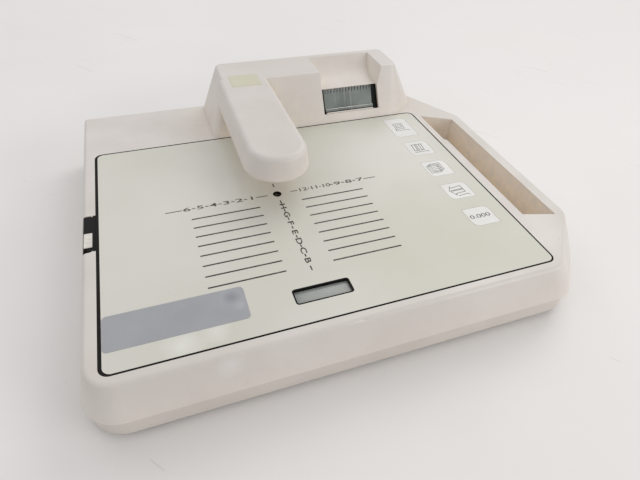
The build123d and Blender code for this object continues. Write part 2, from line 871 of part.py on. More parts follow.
def detector_barrel():
    """The tube over the measuring hole that carries the detector's lens."""
    low = cover_low - barrel_drop
    high = cover_top + barrel_height
    tube = post(hole_x, hole_y, low, high, barrel_radius)
    tube = chamfer(tube.edges().sort_by(Axis.Z)[0], 1.2)
    tube = tube + post(hole_x, hole_y, cover_top, cover_top + 1.5, barrel_radius + 2)
    tube = tube - post(hole_x, hole_y, low - 1, high + 1, barrel_bore - 1)
    return tube - post(hole_x, hole_y, low + 1, high + 1, barrel_bore)


def detector_lens():
    low = cover_low - barrel_drop + 1
    lens = post(hole_x, hole_y, low, low + 2.4, barrel_bore - run_gap)
    return fillet(lens.edges(), 0.9)


def photodiode():
    high = cover_top + barrel_height
    can = post(hole_x, hole_y, high - diode_height, high, barrel_bore - 0.4)
    return fillet(can.edges().sort_by(Axis.Z)[0], 0.5)


def detector_board():
    low = cover_top + barrel_height
    half = arm_half_width - arm_draft - wall - detector_inset
    return rounded(hole_x - half, hole_x + half, hole_y - detector_front, hole_y + detector_back,
                   low, low + board_thick, 3.0)


def filter_slide():
    """Grip in the rim, and a bar with a row of seats for the filters."""
    grip = notch(slide_gap) & skirt(slide_gap, deck_z - slide_gap, split_z + 1)
    edge_y = panel_y + notch_front_in + slide_gap
    scoop_x = left - skirt_flare * 0.25
    grip = grip - post(scoop_x, edge_y + scoop_radius * 0.3, slide_low, deck_z + 1, scoop_radius)
    half = slide_width / 2
    start = panel_x - seal_left - notch_reach - slide_gap * 2
    bar = box(start - 1, slide_inner, hole_y - half, hole_y + half, slide_low, slide_top)
    body = grip + bar
    for index in range(filter_count):
        x = hole_x + index * filter_pitch
        body = body - post(x, hole_y, slide_low - 1, slide_top + 1, filter_radius - filter_stop)
        body = body - post(x, hole_y, slide_top - filter_thick, slide_top + 1, filter_radius + run_gap)
    return body


def filters():
    discs = []
    for index in range(filter_count):
        x = hole_x + index * filter_pitch
        discs.append(post(x, hole_y, slide_top - filter_thick, slide_top - 0.2, filter_radius))
    return Compound(discs)


def filter_label():
    x0 = panel_x - seal_left - notch_reach - slide_gap * 2 - slide_label_width
    y0 = panel_y + slide_label_in
    top = deck_z - slide_gap
    return rounded(x0, x0 + slide_label_width, y0, y0 + slide_label_length, top,
                   top + label_thick, 0.5)


def filter_guide():
    """A shallow channel that the filter slide runs in."""
    half = slide_width / 2 + fit_gap
    x0 = panel_x + ledge + 2
    x1 = slide_inner + 4
    outer = box(x0, x1, hole_y - half - guide_wall, hole_y + half + guide_wall, guide_low,
                slide_low + guide_rim)
    channel = box(x0 - 1, slide_inner + 1, hole_y - half, hole_y + half, guide_top,
                  slide_top)
    return outer - channel - post(hole_x, hole_y, guide_low - 1, guide_top + 1, beam_radius)


def beam_front(thick=2 * optics_side):
    """The space in front of the mirror's plane, up to a depth."""
    lean = math.sqrt(0.5)
    plane = Plane(origin=(hole_x, hole_y, beam_z), x_dir=(1, 0, 0), z_dir=(0, -lean, lean))
    return plane * (Pos(0, 0, thick / 2) * Box(4 * optics_side, 4 * optics_side, thick))


def optics_block():
    """Carries the mirror and the condenser lens under the measuring hole."""
    half = optics_side / 2
    body = rounded(hole_x - half, hole_x + half, hole_y - half, hole_y + half, floor_z,
                   guide_low, 2.0)
    up = post(hole_x, hole_y, floor_z + 1, guide_low + 1, beam_radius)
    along = rod_y(hole_x, hole_y - half - 1, hole_y + beam_radius * 2, beam_z, beam_radius)
    body = body - ((up + along) & beam_front())
    return body - post(hole_x, hole_y, guide_low - lens_edge - 2.4, guide_low + 1, lens_radius)


def mirror():
    up = post(hole_x, hole_y, floor_z, guide_low, beam_radius - 2 * run_gap)
    return up & beam_front(mirror_thick)


def condenser_lens():
    low = guide_low - lens_edge - 2.4
    lens = post(hole_x, hole_y, low, guide_low - 0.4, lens_radius - run_gap)
    return fillet(lens.edges(), (guide_low - 0.4 - low) * 0.42)


def lamp_front():
    return hole_y - optics_side / 2


def lamp_holder():
    """A finned metal block that holds the lamp against the optics block."""
    y1 = lamp_front()
    y0 = y1 - holder_depth
    half = holder_width / 2
    top = beam_z + lamp_radius + 4
    body = box(hole_x - half, hole_x + half, y0, y1, floor_z, top)
    pitch = (holder_width - fin_thick) / (fin_count - 1)
    for index in range(fin_count):
        x = hole_x - half + index * pitch
        body = body + box(x, x + fin_thick, y0, y1, top, top + fin_height)
    return body - rod_y(hole_x, y0 - 1, y1 + 1, beam_z, lamp_radius + run_gap)


def lamp():
    y0 = lamp_front() - holder_depth
    base = rod_y(hole_x, y0, y0 + lamp_base, beam_z, lamp_radius)
    bulb = rod_y(hole_x, y0 + lamp_base, y0 + lamp_base + bulb_length - bulb_radius, beam_z,
                 bulb_radius)
    tip = Pos(hole_x, y0 + lamp_base + bulb_length - bulb_radius, beam_z) * Sphere(bulb_radius)
    pins = [rod_y(hole_x + side * 2, y0 - 4, y0, beam_z, 0.6) for side in (-1, 1)]
    return base + bulb + tip + pins[0] + pins[1]


def main_board():
    x0 = hole_x + main_left_in
    y0 = panel_y + main_front_in
    low = floor_z + main_lift
    board = rounded(x0, x0 + main_width, y0, y0 + main_depth, low, low + board_thick, 2.0)
    for x, y in board_screw_places():
        board = board - post(x, y, low - 1, low + board_thick + 1, screw_small + run_gap)
    return board


def board_screws():
    top = floor_z + main_lift + board_thick
    screws = []
    for x, y in board_screw_places():
        screws.append(post(x, y, floor_z + 1, top, screw_small) + post(x, y, top, top + 1.4, screw_small * 2))
    return Compound(screws)


def chips():
    """Rows of packaged circuits on the main board."""
    top = floor_z + main_lift + board_thick
    x0 = hole_x + main_left_in + chip_first
    y0 = panel_y + main_front_in + chip_front
    parts = []
    for column in range(int((main_width - chip_first - chip_end) / chip_pitch)):
        for row in range(chip_rows):
            x = x0 + column * chip_pitch
            y = y0 + row * chip_pitch
            body = box(x, x + chip_width, y, y + chip_length, top + 0.6, top + 4.0)
            for side in range(5):
                pin_y = y + chip_length * (side + 0.5) / 5
                body = body + box(x - 0.6, x + chip_width + 0.6, pin_y - 0.3, pin_y + 0.3, top, top + 1.4)
            parts.append(body)
    return Compound(parts)


def capacitors():
    top = floor_z + main_lift + board_thick
    x = hole_x + main_left_in + main_width - capacitor_in
    parts = []
    for index in range(3):
        y = panel_y + main_front_in + capacitor_first + index * capacitor_pitch
        can = post(x, y, top, top + capacitor_height, capacitor_radius)
        parts.append(fillet(can.edges().sort_by(Axis.Z)[-1], 0.8))
    return Compound(parts)


def transformer_core():
    """Laminated core on two mounting ears, with windows for the coil."""
    x0 = panel_x + coil_left_in
    y0 = panel_back - coil_front_in
    middle = y0 + coil_depth / 2
    core = box(x0, x0 + coil_width, middle - coil_stack / 2, middle + coil_stack / 2,
               floor_z, floor_z + coil_height)
    for side in (0, 1):
        ear_x = x0 + side * (coil_width - 6)
        core = core + box(ear_x, ear_x + 6, y0, y0 + coil_depth, floor_z, floor_z + 1.2)
    return core - coil_space(0.0)


def coil_space(gap):
    x0 = panel_x + coil_left_in + 6 + gap
    x1 = panel_x + coil_left_in + coil_width - 6 - gap
    y0 = panel_back - coil_front_in
    low = floor_z + 4 + gap
    high = floor_z + coil_height - 4 - gap
    middle = (x0 + x1) / 2
    space = box(x0, x1, y0 - 1, y0 + coil_depth + 1, low, high)
    return space - box(middle - 5, middle + 5, y0 - 2, y0 + coil_depth + 2, low - 1, high + 1)


def transformer_coil():
    """Two wound legs joined in front of and behind the core."""
    x0 = panel_x + coil_left_in + 6 + run_gap
    x1 = panel_x + coil_left_in + coil_width - 6 - run_gap
    y0 = panel_back - coil_front_in + 2
    y1 = panel_back - coil_front_in + coil_depth - 2
    low = floor_z + 4 + run_gap
    high = floor_z + coil_height - 4 - run_gap
    middle_y = (y0 + y1) / 2
    half = coil_stack / 2 + run_gap
    middle_x = (x0 + x1) / 2
    coil = rounded(x0, x1, y0, y1, low, high, 3.0)
    leg = box(middle_x - 5 - run_gap, middle_x + 5 + run_gap, middle_y - half, middle_y + half, low - 1,
              high + 1)
    return coil - leg


def rear_plate():
    plate = box(plate_x + fit_gap, plate_x + plate_width - fit_gap, plate_y, plate_y + plate_thick,
                plate_z + fit_gap, plate_z + plate_height - fit_gap)
    for x, width, height in ((inlet_x, inlet_width, inlet_height), (switch_x, switch_width, switch_height)):
        plate = plate - connector_box(x, width + 2 * run_gap, height + 2 * run_gap, plate_y - 1, back)
    return plate - rod_y(fuse_x, plate_y - 1, back, connector_z, fuse_radius + run_gap)


def connector_box(x, width, height, y0, y1):
    return box(x - width / 2, x + width / 2, y0, y1, connector_z - height / 2, connector_z + height / 2)


def mains_inlet():
    """Three-pin inlet: flange, body and the socket with its two cut corners."""
    outside = plate_y + plate_thick + inlet_flange
    body = connector_box(inlet_x, inlet_width, inlet_height, plate_y - inlet_depth, outside)
    flange = connector_box(inlet_x, inlet_width + 4, inlet_height + 4, plate_y + plate_thick, outside)
    low = connector_z - socket_height / 2
    high = connector_z + socket_height / 2
    x0 = inlet_x - socket_width / 2
    x1 = inlet_x + socket_width / 2
    points = [(x0, low), (x1, low), (x1, high - socket_cut), (x1 - socket_cut, high),
              (x0 + socket_cut, high), (x0, high - socket_cut)]
    face = make_face(Polyline(*points, close=True))
    plane = Plane(origin=(0, outside, 0), x_dir=(1, 0, 0), z_dir=(0, -1, 0))
    socket = plane * extrude(face, socket_depth)
    return body + flange - socket


def inlet_pins():
    y0 = plate_y + plate_thick + inlet_flange - socket_depth
    pins = []
    for offset_x, offset_z in ((-pin_spread, -pin_offset), (pin_spread, -pin_offset), (0, pin_offset)):
        x = inlet_x + offset_x
        z = connector_z + offset_z
        pin = box(x - pin_width / 2, x + pin_width / 2, y0, y0 + socket_depth - 3, z - pin_height / 2,
                  z + pin_height / 2)
        pins.append(chamfer(pin.faces().sort_by(Axis.Y)[-1].edges(), 0.5))
    return Compound(pins)


def switch_frame():
    """The rocker switch's housing, hollow round the rocker."""
    outside = plate_y + plate_thick
    body = connector_box(switch_x, switch_width, switch_height, plate_y - switch_depth, outside)
    body = body + connector_box(switch_x, switch_width + 4, switch_height + 4, outside, outside + 1.5)
    half = rocker_width / 2 + rocker_gap
    reach = rocker_radius + rocker_gap
    hollow = rod_x(switch_x - half, switch_x + half, pivot_y, connector_z, reach)
    mouth = box(switch_x - half, switch_x + half, pivot_y, back, connector_z - reach, connector_z + reach)
    return body - hollow - mouth


def power_rocker():
    """The rocker, tipped to its off side."""
    half = rocker_width / 2
    barrel = rod_x(-half, half, 0, 0, rocker_radius)
    points = [(-rocker_radius * 2, rocker_radius * 2), (-rocker_radius * 2, 3.4), (0, 1.8),
              (rocker_radius * 2, 3.4), (rocker_radius * 2, rocker_radius * 2)]
    with BuildSketch(Plane.YZ) as profile:
        with BuildLine():
            Polyline(*[(y, z) for z, y in points], close=True)
        make_face()
    valley = Pos(-half - 1, 0, 0) * extrude(profile.sketch, rocker_width + 2)
    shape = barrel - valley
    shape = shape - box(-half - 1, half + 1, -rocker_radius * 2, -rocker_radius * 0.6, -20, 20)
    return Pos(switch_x, pivot_y, connector_z) * Rot(-rocker_tilt, 0, 0) * shape


def fuse_holder():
    outside = plate_y + plate_thick
    body = rod_y(fuse_x, plate_y - fuse_depth, outside, connector_z, fuse_radius)
    body = body + rod_y(fuse_x, outside, outside + 1.2, connector_z, fuse_radius + 2)
    cap = rod_y(fuse_x, outside + 1.2, outside + 2.8, connector_z, fuse_radius - 0.5)
    slot = box(fuse_x - fuse_radius * 0.7, fuse_x + fuse_radius * 0.7, outside + 1.8, back,
               connector_z - 0.8, connector_z + 0.8)
    return body + cap - slot


def serial_connector():
    """A data connector: ears with posts, a flared shell and the insulator behind."""
    y0 = back - serial_recess
    middle_x = serial_x + serial_width / 2
    middle_z = serial_z + serial_height / 2
    plate = box(serial_x, serial_x + serial_width, y0, y0 + 1, serial_z, serial_z + serial_height)
    half = serial_width / 2 - serial_ear - 1
    tall = serial_height / 2 - 2
    points = [(middle_x - half + 1.2, middle_z - tall), (middle_x + half - 1.2, middle_z - tall),
              (middle_x + half, middle_z + tall), (middle_x - half, middle_z + tall)]
    plane = Plane(origin=(0, y0 + serial_shell, 0), x_dir=(1, 0, 0), z_dir=(0, -1, 0))
    outline = FilletPolyline(*points, radius=[1.5, 1.5, 1.5, 1.5], close=True)
    shell = plane * extrude(make_face(outline), serial_shell + wall + 5)
    posts = [rod_y(x, y0, y0 + 4, middle_z, 2.2) for x in (serial_x + 3.2, serial_x + serial_width - 3.2)]
    return plate + shell + posts[0] + posts[1]


def bay_half():
    return bay_width / 2 - fit_gap


def printer_frame():
    """Black frame: two unlike cheeks, a lower bar in front and a back bar."""
    half = bay_half()
    low = bay_low + fit_gap
    high = bay_low + bay_length - fit_gap
    deep = bay_recess + cheek_depth
    frame = on_slope(-half, -half + cheek_left, low, high, bay_recess, deep)
    frame = frame + on_slope(half - cheek_right, half, low, high, bay_recess, deep)
    frame = frame + on_slope(-half, half, low, low + lower_bar, bay_recess + bar_behind, deep)
    frame = frame + on_slope(-half, half, high - 3, high, deep - 3, deep)
    frame = frame - slope_rod(-half - 1, half + 1, bay_low + platen_up, bay_recess + platen_in,
                              shaft_radius + run_gap)
    motor_in = bay_recess + platen_in + gear_distance()
    return frame - slope_rod(half - cheek_right - 1, half + 1, bay_low + platen_up, motor_in,
                             motor_shaft + 0.4)


def slope_rod(x0, x1, up, depth, radius):
    """A cylinder along X at a place given in the slope's own measures."""
    centre = slope_plane(up, depth).origin
    return rod_x(bay_x + x0, bay_x + x1, centre.Y, centre.Z, radius)


def gear_distance():
    return gear_module * (gear_teeth + pinion_teeth) / 2


def tear_bar():
    """Thin bar with a row of teeth along its top and a turned-out lower lip."""
    half = bay_half()
    x0 = -half + cheek_left + run_gap
    x1 = half - cheek_right - run_gap
    low = bay_low + bar_low
    high = bay_low + bay_length - bar_top
    bar = on_slope(x0, x1, low, high, bay_recess + 0.2, bay_recess + 0.2 + bar_thick)
    pitch = (x1 - x0) / tooth_count
    plane = slope_plane(high, bay_recess + 0.2 + bar_thick + 1)
    for index in range(tooth_count):
        middle = x0 + (index + 0.5) * pitch
        points = [(middle, -tooth_height), (middle + pitch * 0.42, 1), (middle - pitch * 0.42, 1)]
        bar = bar - plane * extrude(make_face(Polyline(*points, close=True)), bar_thick + 2)
    return bar + on_slope(x0, x1, low, low + bar_lip, bay_recess - lip_out, bay_recess + 0.2)


def platen_roller():
    half = bay_half()
    x0 = -half + cheek_left + 0.5
    x1 = half - cheek_right - 0.5
    up = bay_low + platen_up
    depth = bay_recess + platen_in
    roller = slope_rod(x0, x1, up, depth, platen_radius)
    end = half + gear_gap + gear_width
    return roller + slope_rod(-half - 0.5, end, up, depth, shaft_radius)


def gear(teeth, width, bore):
    """A spur gear about X, its first tooth up."""
    pitch_radius = gear_module * teeth / 2
    tip = pitch_radius + gear_module * 0.9
    root = pitch_radius - gear_module * 1.15
    step = 2 * math.pi / teeth
    points = []
    for index in range(teeth):
        middle = index * step
        for radius, share in ((root, -0.3), (tip, -0.1), (tip, 0.1), (root, 0.3)):
            angle = middle + share * step
            points.append((radius * math.sin(angle), radius * math.cos(angle)))
    face = make_face(Polyline(*points, close=True)) - Circle(bore)
    return Plane.YZ * extrude(face, width)


def slope_turn():
    """The direction from the platen to the motor, as a turn about X from straight up."""
    first = slope_plane(platen_up, 0).origin
    second = slope_plane(platen_up, 1).origin
    return math.degrees(math.atan2(second.Y - first.Y, second.Z - first.Z))


def platen_gear():
    centre = slope_plane(bay_low + platen_up, bay_recess + platen_in).origin
    turn = Rot(-slope_turn(), 0, 0)
    shape = gear(gear_teeth, gear_width, shaft_radius)
    return Pos(bay_x + bay_half() + gear_gap, centre.Y, centre.Z) * turn * shape


def motor_pinion():
    """Pinion on the motor's shaft, a tooth gap facing the platen gear."""
    depth = bay_recess + platen_in + gear_distance()
    centre = slope_plane(bay_low + platen_up, depth).origin
    offset = 180.0 / pinion_teeth if pinion_teeth % 2 == 0 else 0.0
    turn = Rot(-slope_turn() - offset, 0, 0)
    shape = gear(pinion_teeth, gear_width, motor_shaft)
    place = Pos(bay_x + bay_half() + gear_gap, centre.Y, centre.Z)
    shaft = slope_rod(bay_half() - cheek_right - 4, bay_half() + gear_gap + gear_width,
                      bay_low + platen_up, depth, motor_shaft)
    return place * turn * shape + shaft


def printer_motor():
    depth = bay_recess + platen_in + gear_distance()
    up = bay_low + platen_up
    x1 = bay_half() - cheek_right
    can = slope_rod(x1 - motor_length, x1, up, depth, motor_radius)
    return can - slope_rod(x1 - 5, x1 + 1, up, depth, motor_shaft + run_gap)


def print_head():
    """The head under the tear bar, close to the platen."""
    half = bay_half()
    x0 = -half + cheek_left
    x1 = half - cheek_right
    low = bay_low + fit_gap + lower_bar
    top = bay_low + platen_up - platen_radius - fit_gap
    return on_slope(x0, x1, low, top, bay_recess + bar_behind, bay_recess + head_depth)


def paper_roll():
    half = roll_length / 2
    roll = rod_x(bay_x - half, bay_x + half, roll_y, roll_z, roll_radius)
    return roll - rod_x(bay_x - half - 1, bay_x + half + 1, roll_y, roll_z, roll_core + run_gap)


def roll_spindle():
    x0, x1 = roll_bracket_places()
    middle = rod_x(x0 + bracket_thick, x1, roll_y, roll_z, roll_core)
    return middle + rod_x(x0, x1 + bracket_thick, roll_y, roll_z, spindle_radius)


def arm_label():
    x0 = hole_x - arm_label_left_in
    y0 = panel_back + arm_label_front_in
    return rounded(x0, x0 + arm_label_width, y0, y0 + arm_label_depth, top_z, top_z + label_thick, 0.6)


def foil_sticker():
    x0 = panel_x + sticker_left_in
    y0 = panel_y + sticker_front_in
    return rounded(x0, x0 + sticker_width, y0, y0 + sticker_depth, deck_z, deck_z + label_thick,
                   sticker_radius)


nodes = {
    "upper_housing": upper_housing(),
    "base_tray": base_tray(),
    "rubber_feet": rubber_feet(),
    "tray_screws": tray_screws(),
    "work_panel": work_panel(),
    "panel_seal": panel_seal(),
    "window_frame": window_frame(),
    "display_window": display_window(),
    "display_module": display_module(),
    "keypad_board": keypad_board(),
    "dome_mat": dome_mat(),
    "measuring_bush": measuring_bush(),
    "measuring_lens": measuring_lens(),
    "arm_cover": arm_cover(),
    "cover_screws": cover_screws(),
    "detector_barrel": detector_barrel(),
    "detector_lens": detector_lens(),
    "photodiode": photodiode(),
    "detector_board": detector_board(),
    "filter_slide": filter_slide(),
    "filters": filters(),
    "filter_label": filter_label(),
    "filter_guide": filter_guide(),
    "optics_block": optics_block(),
    "mirror": mirror(),
    "condenser_lens": condenser_lens(),
    "lamp_holder": lamp_holder(),
    "lamp": lamp(),
    "main_board": main_board(),
    "board_screws": board_screws(),
    "chips": chips(),
    "capacitors": capacitors(),
    "transformer_core": transformer_core(),
    "transformer_coil": transformer_coil(),
    "rear_plate": rear_plate(),
    "mains_inlet": mains_inlet(),
    "inlet_pins": inlet_pins(),
    "switch_frame": switch_frame(),
    "power_rocker": power_rocker(),
    "fuse_holder": fuse_holder(),
    "serial_connector": serial_connector(),
    "printer_frame": printer_frame(),
    "tear_bar": tear_bar(),
    "platen_roller": platen_roller(),
    "platen_gear": platen_gear(),
    "motor_pinion": motor_pinion(),
    "printer_motor": printer_motor(),
    "print_head": print_head(),
    "paper_roll": paper_roll(),
    "roll_spindle": roll_spindle(),
    "arm_label": arm_label(),
    "foil_sticker": foil_sticker(),
}
for name, row in zip(key_names, key_rows):
    nodes[name] = key(row)

for name, shape in nodes.items():
    export_step(shape, os.path.join("parts", name + ".step"))
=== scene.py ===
import math
import bpy
from mathutils import Matrix, Vector


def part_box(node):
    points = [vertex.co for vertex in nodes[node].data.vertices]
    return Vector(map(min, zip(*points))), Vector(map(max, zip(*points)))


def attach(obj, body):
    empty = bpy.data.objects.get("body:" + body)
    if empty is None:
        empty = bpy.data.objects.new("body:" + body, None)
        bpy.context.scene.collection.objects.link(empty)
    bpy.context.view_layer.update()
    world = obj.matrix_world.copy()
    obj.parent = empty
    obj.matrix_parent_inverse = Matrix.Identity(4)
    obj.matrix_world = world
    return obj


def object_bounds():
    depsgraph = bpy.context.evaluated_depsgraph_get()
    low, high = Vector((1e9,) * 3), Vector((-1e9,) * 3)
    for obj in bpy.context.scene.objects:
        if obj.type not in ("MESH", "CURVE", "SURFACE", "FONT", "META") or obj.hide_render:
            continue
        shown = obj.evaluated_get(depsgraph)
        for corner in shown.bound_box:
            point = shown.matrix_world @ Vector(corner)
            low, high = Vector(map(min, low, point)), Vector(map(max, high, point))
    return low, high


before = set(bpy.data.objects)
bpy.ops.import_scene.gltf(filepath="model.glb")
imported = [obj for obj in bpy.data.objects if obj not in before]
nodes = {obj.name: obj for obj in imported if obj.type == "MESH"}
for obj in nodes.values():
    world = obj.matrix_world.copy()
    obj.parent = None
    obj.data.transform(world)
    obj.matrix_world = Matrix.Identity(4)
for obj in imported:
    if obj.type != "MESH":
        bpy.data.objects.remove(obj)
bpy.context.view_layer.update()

mm = 0.001
bpy.ops.object.select_all(action="DESELECT")
print("frame loaded:", len(nodes), "nodes")

# printed marks are placed in mm from the work panel's front left corner, on its top face
panelLow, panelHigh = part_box("work_panel")
panelX = panelLow[0]
panelY = panelLow[1]
panelTop = panelHigh[2]


# the camera stands where the printed rows say that the photograph was taken from
cameraView = {
    "place": (-0.10007, -0.26805, 0.24794),
    "right": (0.9421, -0.3326, 0.0432),
    "up": (0.1971, 0.6533, 0.7310),
    "back": (-0.2714, -0.6801, 0.6810),
    "lens": 26.42,
    "sensor": 36.0,
}


def makeCamera():
    bpy.ops.object.camera_add(location=(0, 0, 0))
    camera = bpy.context.object
    camera.name = "photoCamera"
    camera.data.lens = cameraView["lens"]
    camera.data.sensor_width = cameraView["sensor"]
    camera.data.clip_start = 0.005
    turn = Matrix([cameraView[axis] for axis in ("right", "up", "back")]).transposed()
    camera.matrix_world = Matrix.Translation(cameraView["place"]) @ turn.to_4x4()
    bpy.context.scene.camera = camera
    bpy.ops.object.select_all(action="DESELECT")


makeCamera()
print("camera set")


# a colour as a screen shows it, from 0 to 255, turned into the shader's own values
def screenColor(r, g, b):
    def one(value):
        value = value / 255
        return value / 12.92 if value <= 0.04045 else ((value + 0.055) / 1.055) ** 2.4
    return (one(r), one(g), one(b), 1.0)


def addNode(tree, kind, options=None, values=None):
    node = tree.nodes.new(kind)
    for name, value in (options or {}).items():
        setattr(node, name, value)
    for name, value in (values or {}).items():
        node.inputs[name].default_value = value
    return node


# links a socket, or sets a plain value
def feed(tree, value, target):
    if isinstance(value, bpy.types.NodeSocket):
        tree.links.new(value, target)
    else:
        target.default_value = value


def mixColor(tree, amount, first, second):
    node = addNode(tree, "ShaderNodeMix", {"data_type": "RGBA"})
    feed(tree, amount, node.inputs[0])
    feed(tree, first, node.inputs[6])
    feed(tree, second, node.inputs[7])
    return node.outputs[2]


def doMath(tree, operation, first, second=0.5, clamp=False):
    node = addNode(tree, "ShaderNodeMath", {"operation": operation, "use_clamp": clamp})
    feed(tree, first, node.inputs[0])
    feed(tree, second, node.inputs[1])
    return node.outputs[0]


def remap(tree, value, low, high, toLow=0.0, toHigh=1.0):
    node = addNode(tree, "ShaderNodeMapRange", {}, {
        "From Min": low, "From Max": high, "To Min": toLow, "To Max": toHigh})
    tree.links.new(value, node.inputs["Value"])
    return node.outputs["Result"]


# shader groups that several finishes share
def newGroup(name, inputs, outputs):
    group = bpy.data.node_groups.new(name, "ShaderNodeTree")
    for socketName, value in inputs.items():
        socket = group.interface.new_socket(name=socketName, in_out="INPUT", socket_type="NodeSocketFloat")
        socket.default_value = value
    for socketName in outputs:
        group.interface.new_socket(name=socketName, in_out="OUTPUT", socket_type="NodeSocketFloat")
    return group, group.nodes.new("NodeGroupInput"), group.nodes.new("NodeGroupOutput")


def placeGroup(tree, group, values=None):
    node = addNode(tree, "ShaderNodeGroup", {"node_tree": group})
    for name, value in (values or {}).items():
        node.inputs[name].default_value = value
    return node.outputs


def makeNoise(group, coords, scale, detail=2.0):
    node = addNode(group, "ShaderNodeTexNoise", {}, {"Detail": detail})
    group.links.new(coords, node.inputs["Vector"])
    feed(group, scale, node.inputs["Scale"])
    return node.outputs["Fac"]


# slow patches of colour, a fine moulding grain and a few specks
def makeSurfaceSpread():
    group, entry, leave = newGroup(
        "surfaceSpread", {"patchScale": 25.0, "grainScale": 2200.0, "speckScale": 260.0, "speckSize": 0.07},
        ("patches", "grain", "specks"))
    coords = addNode(group, "ShaderNodeTexCoord").outputs["Object"]
    dots = addNode(group, "ShaderNodeTexVoronoi", {}, {"Randomness": 1.0})
    group.links.new(coords, dots.inputs["Vector"])
    group.links.new(entry.outputs["speckScale"], dots.inputs["Scale"])
    near = doMath(group, "LESS_THAN", dots.outputs["Distance"], entry.outputs["speckSize"])
    seldom = doMath(group, "GREATER_THAN", makeNoise(group, coords, 60.0, 1.0), 0.6)  # in a few places alone
    group.links.new(makeNoise(group, coords, entry.outputs["patchScale"], 4.0), leave.inputs["patches"])
    group.links.new(makeNoise(group, coords, entry.outputs["grainScale"]), leave.inputs["grain"])
    group.links.new(doMath(group, "MULTIPLY", near, seldom), leave.inputs["specks"])
    return group


# painted shade with dirt: darkens corners and the sides of seams, where shade falls and dirt gathers
def makeCornerShadeAndDirt():
    group, entry, leave = newGroup("cornerShadeAndDirt", {"reach": 0.004}, ("shadeAndDirt",))
    shade = addNode(group, "ShaderNodeAmbientOcclusion", {"samples": 6})
    group.links.new(entry.outputs["reach"], shade.inputs["Distance"])
    closed = doMath(group, "SUBTRACT", 1.0, shade.outputs["AO"])
    coords = addNode(group, "ShaderNodeTexCoord").outputs["Object"]
    uneven = doMath(group, "MULTIPLY", closed, makeNoise(group, coords, 180.0, 3.0))
    group.links.new(doMath(group, "MULTIPLY", uneven, 1.6, True), leave.inputs["shadeAndDirt"])
    return group


# thin scratches along one direction, worked out from stretched noise
def makeScratches():
    group, entry, leave = newGroup("scratches", {"turn": 0.4, "fine": 900.0, "amount": 0.66}, ("marks",))
    coords = addNode(group, "ShaderNodeTexCoord").outputs["Object"]
    turned = addNode(group, "ShaderNodeVectorRotate", {"rotation_type": "Z_AXIS"})
    group.links.new(coords, turned.inputs["Vector"])
    group.links.new(entry.outputs["turn"], turned.inputs["Angle"])
    stretch = addNode(group, "ShaderNodeVectorMath", {"operation": "MULTIPLY"})
    stretch.inputs[1].default_value = (0.02, 1.0, 0.02)
    group.links.new(turned.outputs["Vector"], stretch.inputs[0])
    lines = makeNoise(group, stretch.outputs["Vector"], entry.outputs["fine"], 1.0)
    where = doMath(group, "GREATER_THAN", makeNoise(group, coords, 30.0, 2.0), 0.52)
    thin = doMath(group, "GREATER_THAN", lines, entry.outputs["amount"])
    group.links.new(doMath(group, "MULTIPLY", thin, where), leave.inputs["marks"])
    return group


# a soft round patch about a place on the object, in metres
def makeSpot():
    group, entry, leave = newGroup("spot", {"x": 0.0, "y": 0.0, "z": 0.0, "reach": 0.02}, ("inside",))
    coords = addNode(group, "ShaderNodeTexCoord").outputs["Object"]
    middle = addNode(group, "ShaderNodeCombineXYZ")
    for name in ("x", "y", "z"):
        group.links.new(entry.outputs[name], middle.inputs[name.upper()])
    away = addNode(group, "ShaderNodeVectorMath", {"operation": "DISTANCE"})
    group.links.new(coords, away.inputs[0])
    group.links.new(middle.outputs["Vector"], away.inputs[1])
    ragged = doMath(group, "MULTIPLY", makeNoise(group, coords, 90.0, 5.0), entry.outputs["reach"])
    far = doMath(group, "ADD", away.outputs["Value"], ragged)
    share = doMath(group, "DIVIDE", far, entry.outputs["reach"])
    group.links.new(doMath(group, "SUBTRACT", 1.45, share, True), leave.inputs["inside"])
    return group


surfaceSpread = makeSurfaceSpread()
cornerShadeAndDirt = makeCornerShadeAndDirt()
scratches = makeScratches()
spot = makeSpot()
print("shader groups made")


# how far each kind of wear, painted shade and painted bounce light shows over a skin's own colour
wearAndPaintedLight = {
    # brown of the painted shade with dirt in corners and seams
    "shadeAndDirt": screenColor(96, 84, 72),
    "scratchShare": 0.35,
    "speckShare": 0.6,
    # reach and share of the painted bounce light in deep hollows
    "deepReach": 0.045,
    "deepShare": 0.8,
    "bumpStrength": 0.6,
}


def newMaterial(name):
    material = bpy.data.materials.new(name)
    material.use_nodes = True
    return material, material.node_tree, material.node_tree.nodes["Principled BSDF"]


